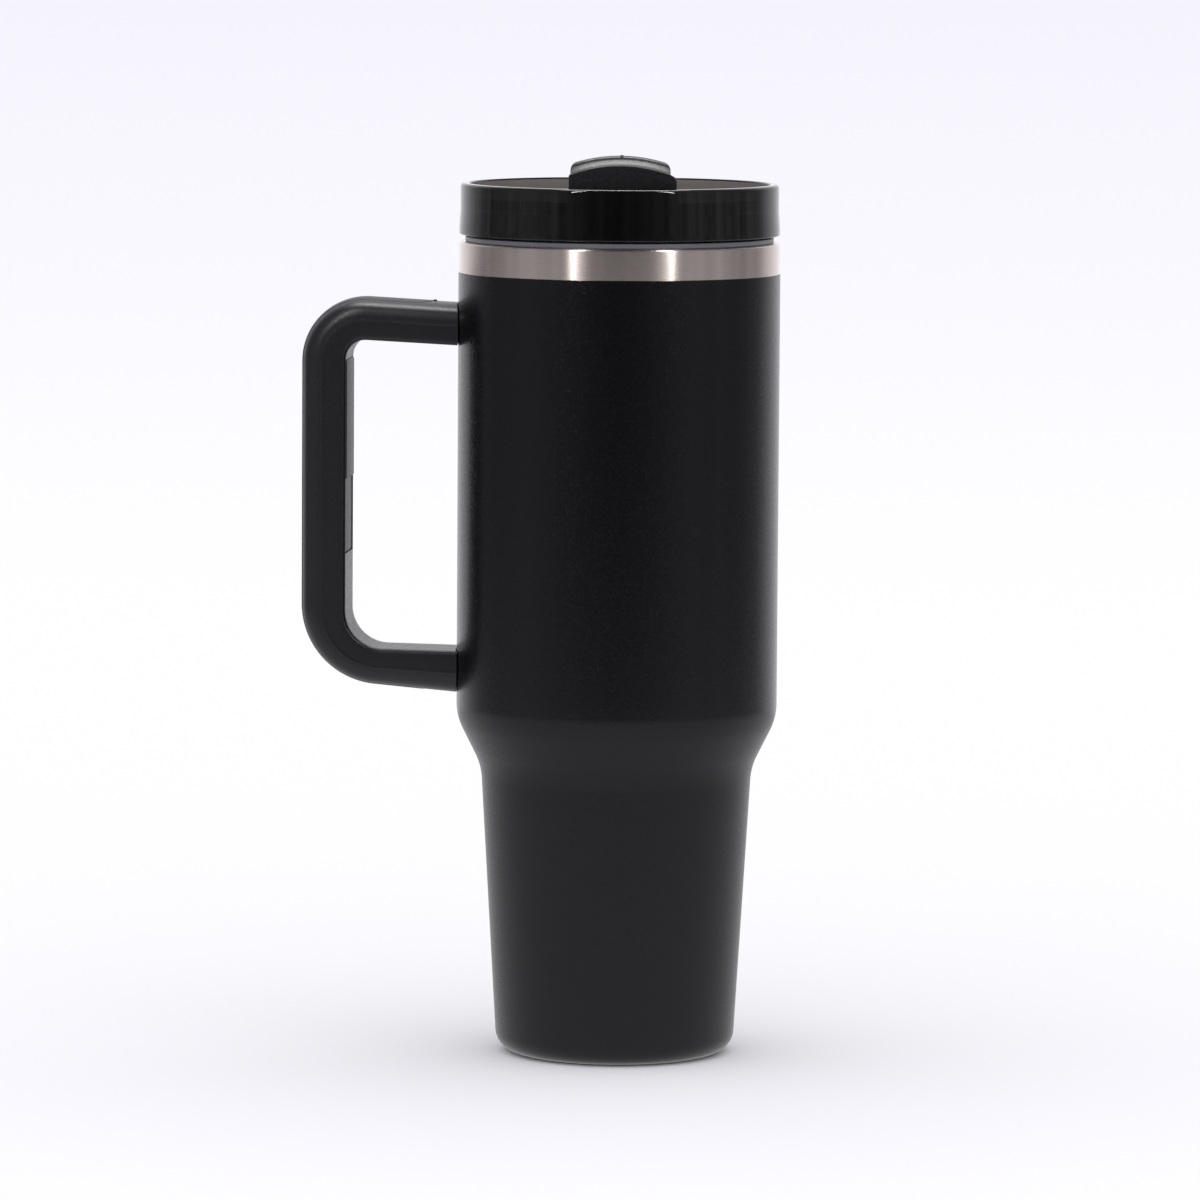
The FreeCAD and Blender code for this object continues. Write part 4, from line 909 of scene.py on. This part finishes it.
# ------------------------------------------------------------------ camera
sc = bpy.context.scene
cam = bpy.data.cameras.new("camera")
cam.sensor_width = 36.0
cam.lens = 220.5
cam.clip_start, cam.clip_end = 0.05, 200.0
co = bpy.data.objects.new("camera", cam)
sc.collection.objects.link(co)
DIST, CAM_Z = 2.250, 0.361
co.location = (math.sin(CAM_AZ) * DIST, -math.cos(CAM_AZ) * DIST, CAM_Z)
PITCH = math.atan((0.361 - 0.1395) / 2.250)
YAW = math.atan(17.3 / 7350.0)
ROLL = math.radians(0.37)
# look along +Y turned by the azimuth, then yaw left a little, pitch down, and roll
rot = Matrix.Rotation(CAM_AZ + YAW, 4, "Z") @ Matrix.Rotation(math.radians(90) - PITCH, 4, "X") @ Matrix.Rotation(ROLL, 4, "Z")
co.rotation_mode = "QUATERNION"
co.rotation_quaternion = rot.to_quaternion()
sc.camera = co

# ------------------------------------------------------------------ world, floor and lights
w = bpy.data.worlds.new("studio")
sc.world = w
w.use_nodes = True
nt = w.node_tree
nt.nodes.clear()
wout = node(nt, "ShaderNodeOutputWorld")
tc = node(nt, "ShaderNodeTexCoord")
flat = node(nt, "ShaderNodeVectorMath", operation="MULTIPLY")
flat.inputs[1].default_value = (1, 1, 0)
link(nt, tc.outputs["Generated"], flat.inputs[0])
nrm = node(nt, "ShaderNodeVectorMath", operation="NORMALIZE")
link(nt, flat.outputs[0], nrm.inputs[0])
dot = node(nt, "ShaderNodeVectorMath", operation="DOT_PRODUCT")
dot.inputs[1].default_value = (math.sin(CAM_AZ), -math.cos(CAM_AZ), 0)
link(nt, nrm.outputs[0], dot.inputs[0])
az = remap(nt, dot.outputs["Value"], -1, 1, 0, 1)
ramp = node(nt, "ShaderNodeValToRGB")
ramp.color_ramp.interpolation = "LINEAR"
stops = [(180, 1.10), (158, 1.05), (145, 0.90), (133, 0.66), (118, 0.30), (100, 0.20), (75, 0.35), (55, 0.34), (30, 0.17), (0, 0.09)]
els = ramp.color_ramp.elements
while len(els) > 1:
    els.remove(els[0])
first = True
for deg, val in stops:
    pos = (math.cos(math.radians(deg)) + 1) / 2
    e = els[0] if first else els.new(pos)
    e.position = pos
    e.color = (val * (0.985 if val > 0.5 else 1.0), val * (0.975 if val > 0.5 else 0.985), val * (1.02 if val > 0.5 else 1.05), 1)
    first = False
link(nt, az, ramp.inputs["Fac"])
sepw = node(nt, "ShaderNodeSeparateXYZ")
link(nt, tc.outputs["Generated"], sepw.inputs[0])
down = remap(nt, sepw.outputs["Z"], -0.30, -0.45, 0, 1)
stre = node(nt, "ShaderNodeMapping")
stre.inputs["Scale"].default_value = (1.0, 1.0, 0.18)
link(nt, tc.outputs["Generated"], stre.inputs["Vector"])
streak = noise(nt, stre.outputs["Vector"], 9.0, 3.0, 0.6)
gain = remap(nt, streak, 0.30, 0.70, 0.60, 1.40)
gmix = node(nt, "ShaderNodeMix", data_type="FLOAT")
link(nt, remap(nt, dot.outputs["Value"], -0.75, -0.45, 0.0, 1.0), gmix.inputs[0])
gmix.inputs[2].default_value = 1.0
link(nt, gain, gmix.inputs[3])
scl = node(nt, "ShaderNodeVectorMath", operation="SCALE")
link(nt, ramp.outputs["Color"], scl.inputs[0])
link(nt, gmix.outputs[0], scl.inputs["Scale"])
room = colour_mix(nt, down, scl.outputs["Vector"], (0.30, 0.30, 0.31))
lp = node(nt, "ShaderNodeLightPath")
soft = colour_mix(nt, lp.outputs["Is Diffuse Ray"], room, (1.40, 1.40, 1.42))
seen = colour_mix(nt, lp.outputs["Is Camera Ray"], soft, (0.955, 0.955, 0.985))
bg = node(nt, "ShaderNodeBackground")
link(nt, seen, bg.inputs["Color"])
bg.inputs["Strength"].default_value = 1.0
link(nt, bg.outputs[0], wout.inputs["Surface"])

fm_, fnt, fb, _ = material("studio_floor")
fv = coords(fnt)
fsep = node(fnt, "ShaderNodeSeparateXYZ")
link(fnt, fv, fsep.inputs[0])
# painted light: the floor's base colour ramps along Y, lightest just in front of the mug and darker towards the back
# and towards the camera, standing in for how the light falls over the white floor
floor_painted_light_ramp = node(fnt, "ShaderNodeValToRGB")
fe = floor_painted_light_ramp.color_ramp.elements
while len(fe) > 1:
    fe.remove(fe[0])
for i, (yy, c) in enumerate([(-3.0, (0.726, 0.717, 0.754)), (-0.25, (0.744, 0.735, 0.772)), (0.3, (0.729, 0.727, 0.744)), (1.4, (0.735, 0.733, 0.744)), (4.0, (0.723, 0.716, 0.750)), (13.0, (0.704, 0.696, 0.736)), (22.0, (0.695, 0.689, 0.730))]):
    e = fe[0] if i == 0 else fe.new((yy + 3.0) / 25.0)
    e.position = (yy + 3.0) / 25.0
    e.color = (*c, 1)
link(fnt, remap(fnt, fsep.outputs["Y"], -3.0, 22.0, 0.0, 1.0), floor_painted_light_ramp.inputs["Fac"])
link(fnt, floor_painted_light_ramp.outputs["Color"], fb.inputs["Base Color"])
fb.inputs["Roughness"].default_value = 0.9
fb.inputs["Specular IOR Level"].default_value = 0.0
fme = bpy.data.meshes.new("floor")
S = 90.0
fme.from_pydata([(-S, -S, 0), (S, -S, 0), (S, S, 0), (-S, S, 0)], [], [(0, 1, 2, 3)])
fme.materials.append(fm_)
floor = bpy.data.objects.new("floor", fme)
floor.location.z = -0.0002
sc.collection.objects.link(floor)
floor.visible_glossy = False
floor.visible_transmission = False


tm_, tnt, tb, tout = material("table_card")
tnt.nodes.remove(tb)
em = node(tnt, "ShaderNodeEmission")
em.inputs["Color"].default_value = (0.70, 0.70, 0.72, 1)
em.inputs["Strength"].default_value = 1.0
link(tnt, em.outputs[0], tout.inputs["Surface"])
tme = bpy.data.meshes.new("table_card")
tv, tf_ = [], []
for i in range(96):
    t = 2 * math.pi * i / 96
    tv.append((0.72 * math.cos(t), 0.72 * math.sin(t), 0.0))
tme.from_pydata(tv, [], [tuple(range(96))])
tme.materials.append(tm_)
card = bpy.data.objects.new("table_card", tme)
card.location.z = -0.0001
sc.collection.objects.link(card)
card.visible_camera = False
card.visible_diffuse = False
card.visible_shadow = False
card.visible_transmission = False


def strip(name, az_deg, elev, dist, wid, tall, power):
    """A tall soft box at an angle round from the camera's side, facing the mug."""
    l = bpy.data.lights.new(name, "AREA")
    l.shape = "RECTANGLE"
    l.size = wid
    l.size_y = tall
    l.energy = power
    l.color = (1.0, 1.0, 1.0)
    o = bpy.data.objects.new(name, l)
    a = CAM_AZ + math.radians(az_deg)
    e = math.radians(elev)
    back = Vector((math.sin(a) * math.cos(e), -math.cos(a) * math.cos(e), math.sin(e)))
    o.location = Vector((0, 0, 0.2)) + back * dist
    o.rotation_mode = "QUATERNION"
    o.rotation_quaternion = back.to_track_quat("Z", "Y")
    sc.collection.objects.link(o)
    o.visible_camera = False
    o.visible_diffuse = False
    return o


strip("strip_left", -34.2, 36.0, 1.7, 0.08, 1.3, 9.0)
strip("strip_right", 38.6, 36.0, 1.7, 0.08, 1.3, 8.0)
strip("top_box", 176.0, 78.0, 1.5, 1.0, 0.50, 14.0)

sc.view_settings.view_transform = "Standard"
sc.view_settings.look = "None"
sc.view_settings.exposure = 0.0
sc.view_settings.gamma = 1.0
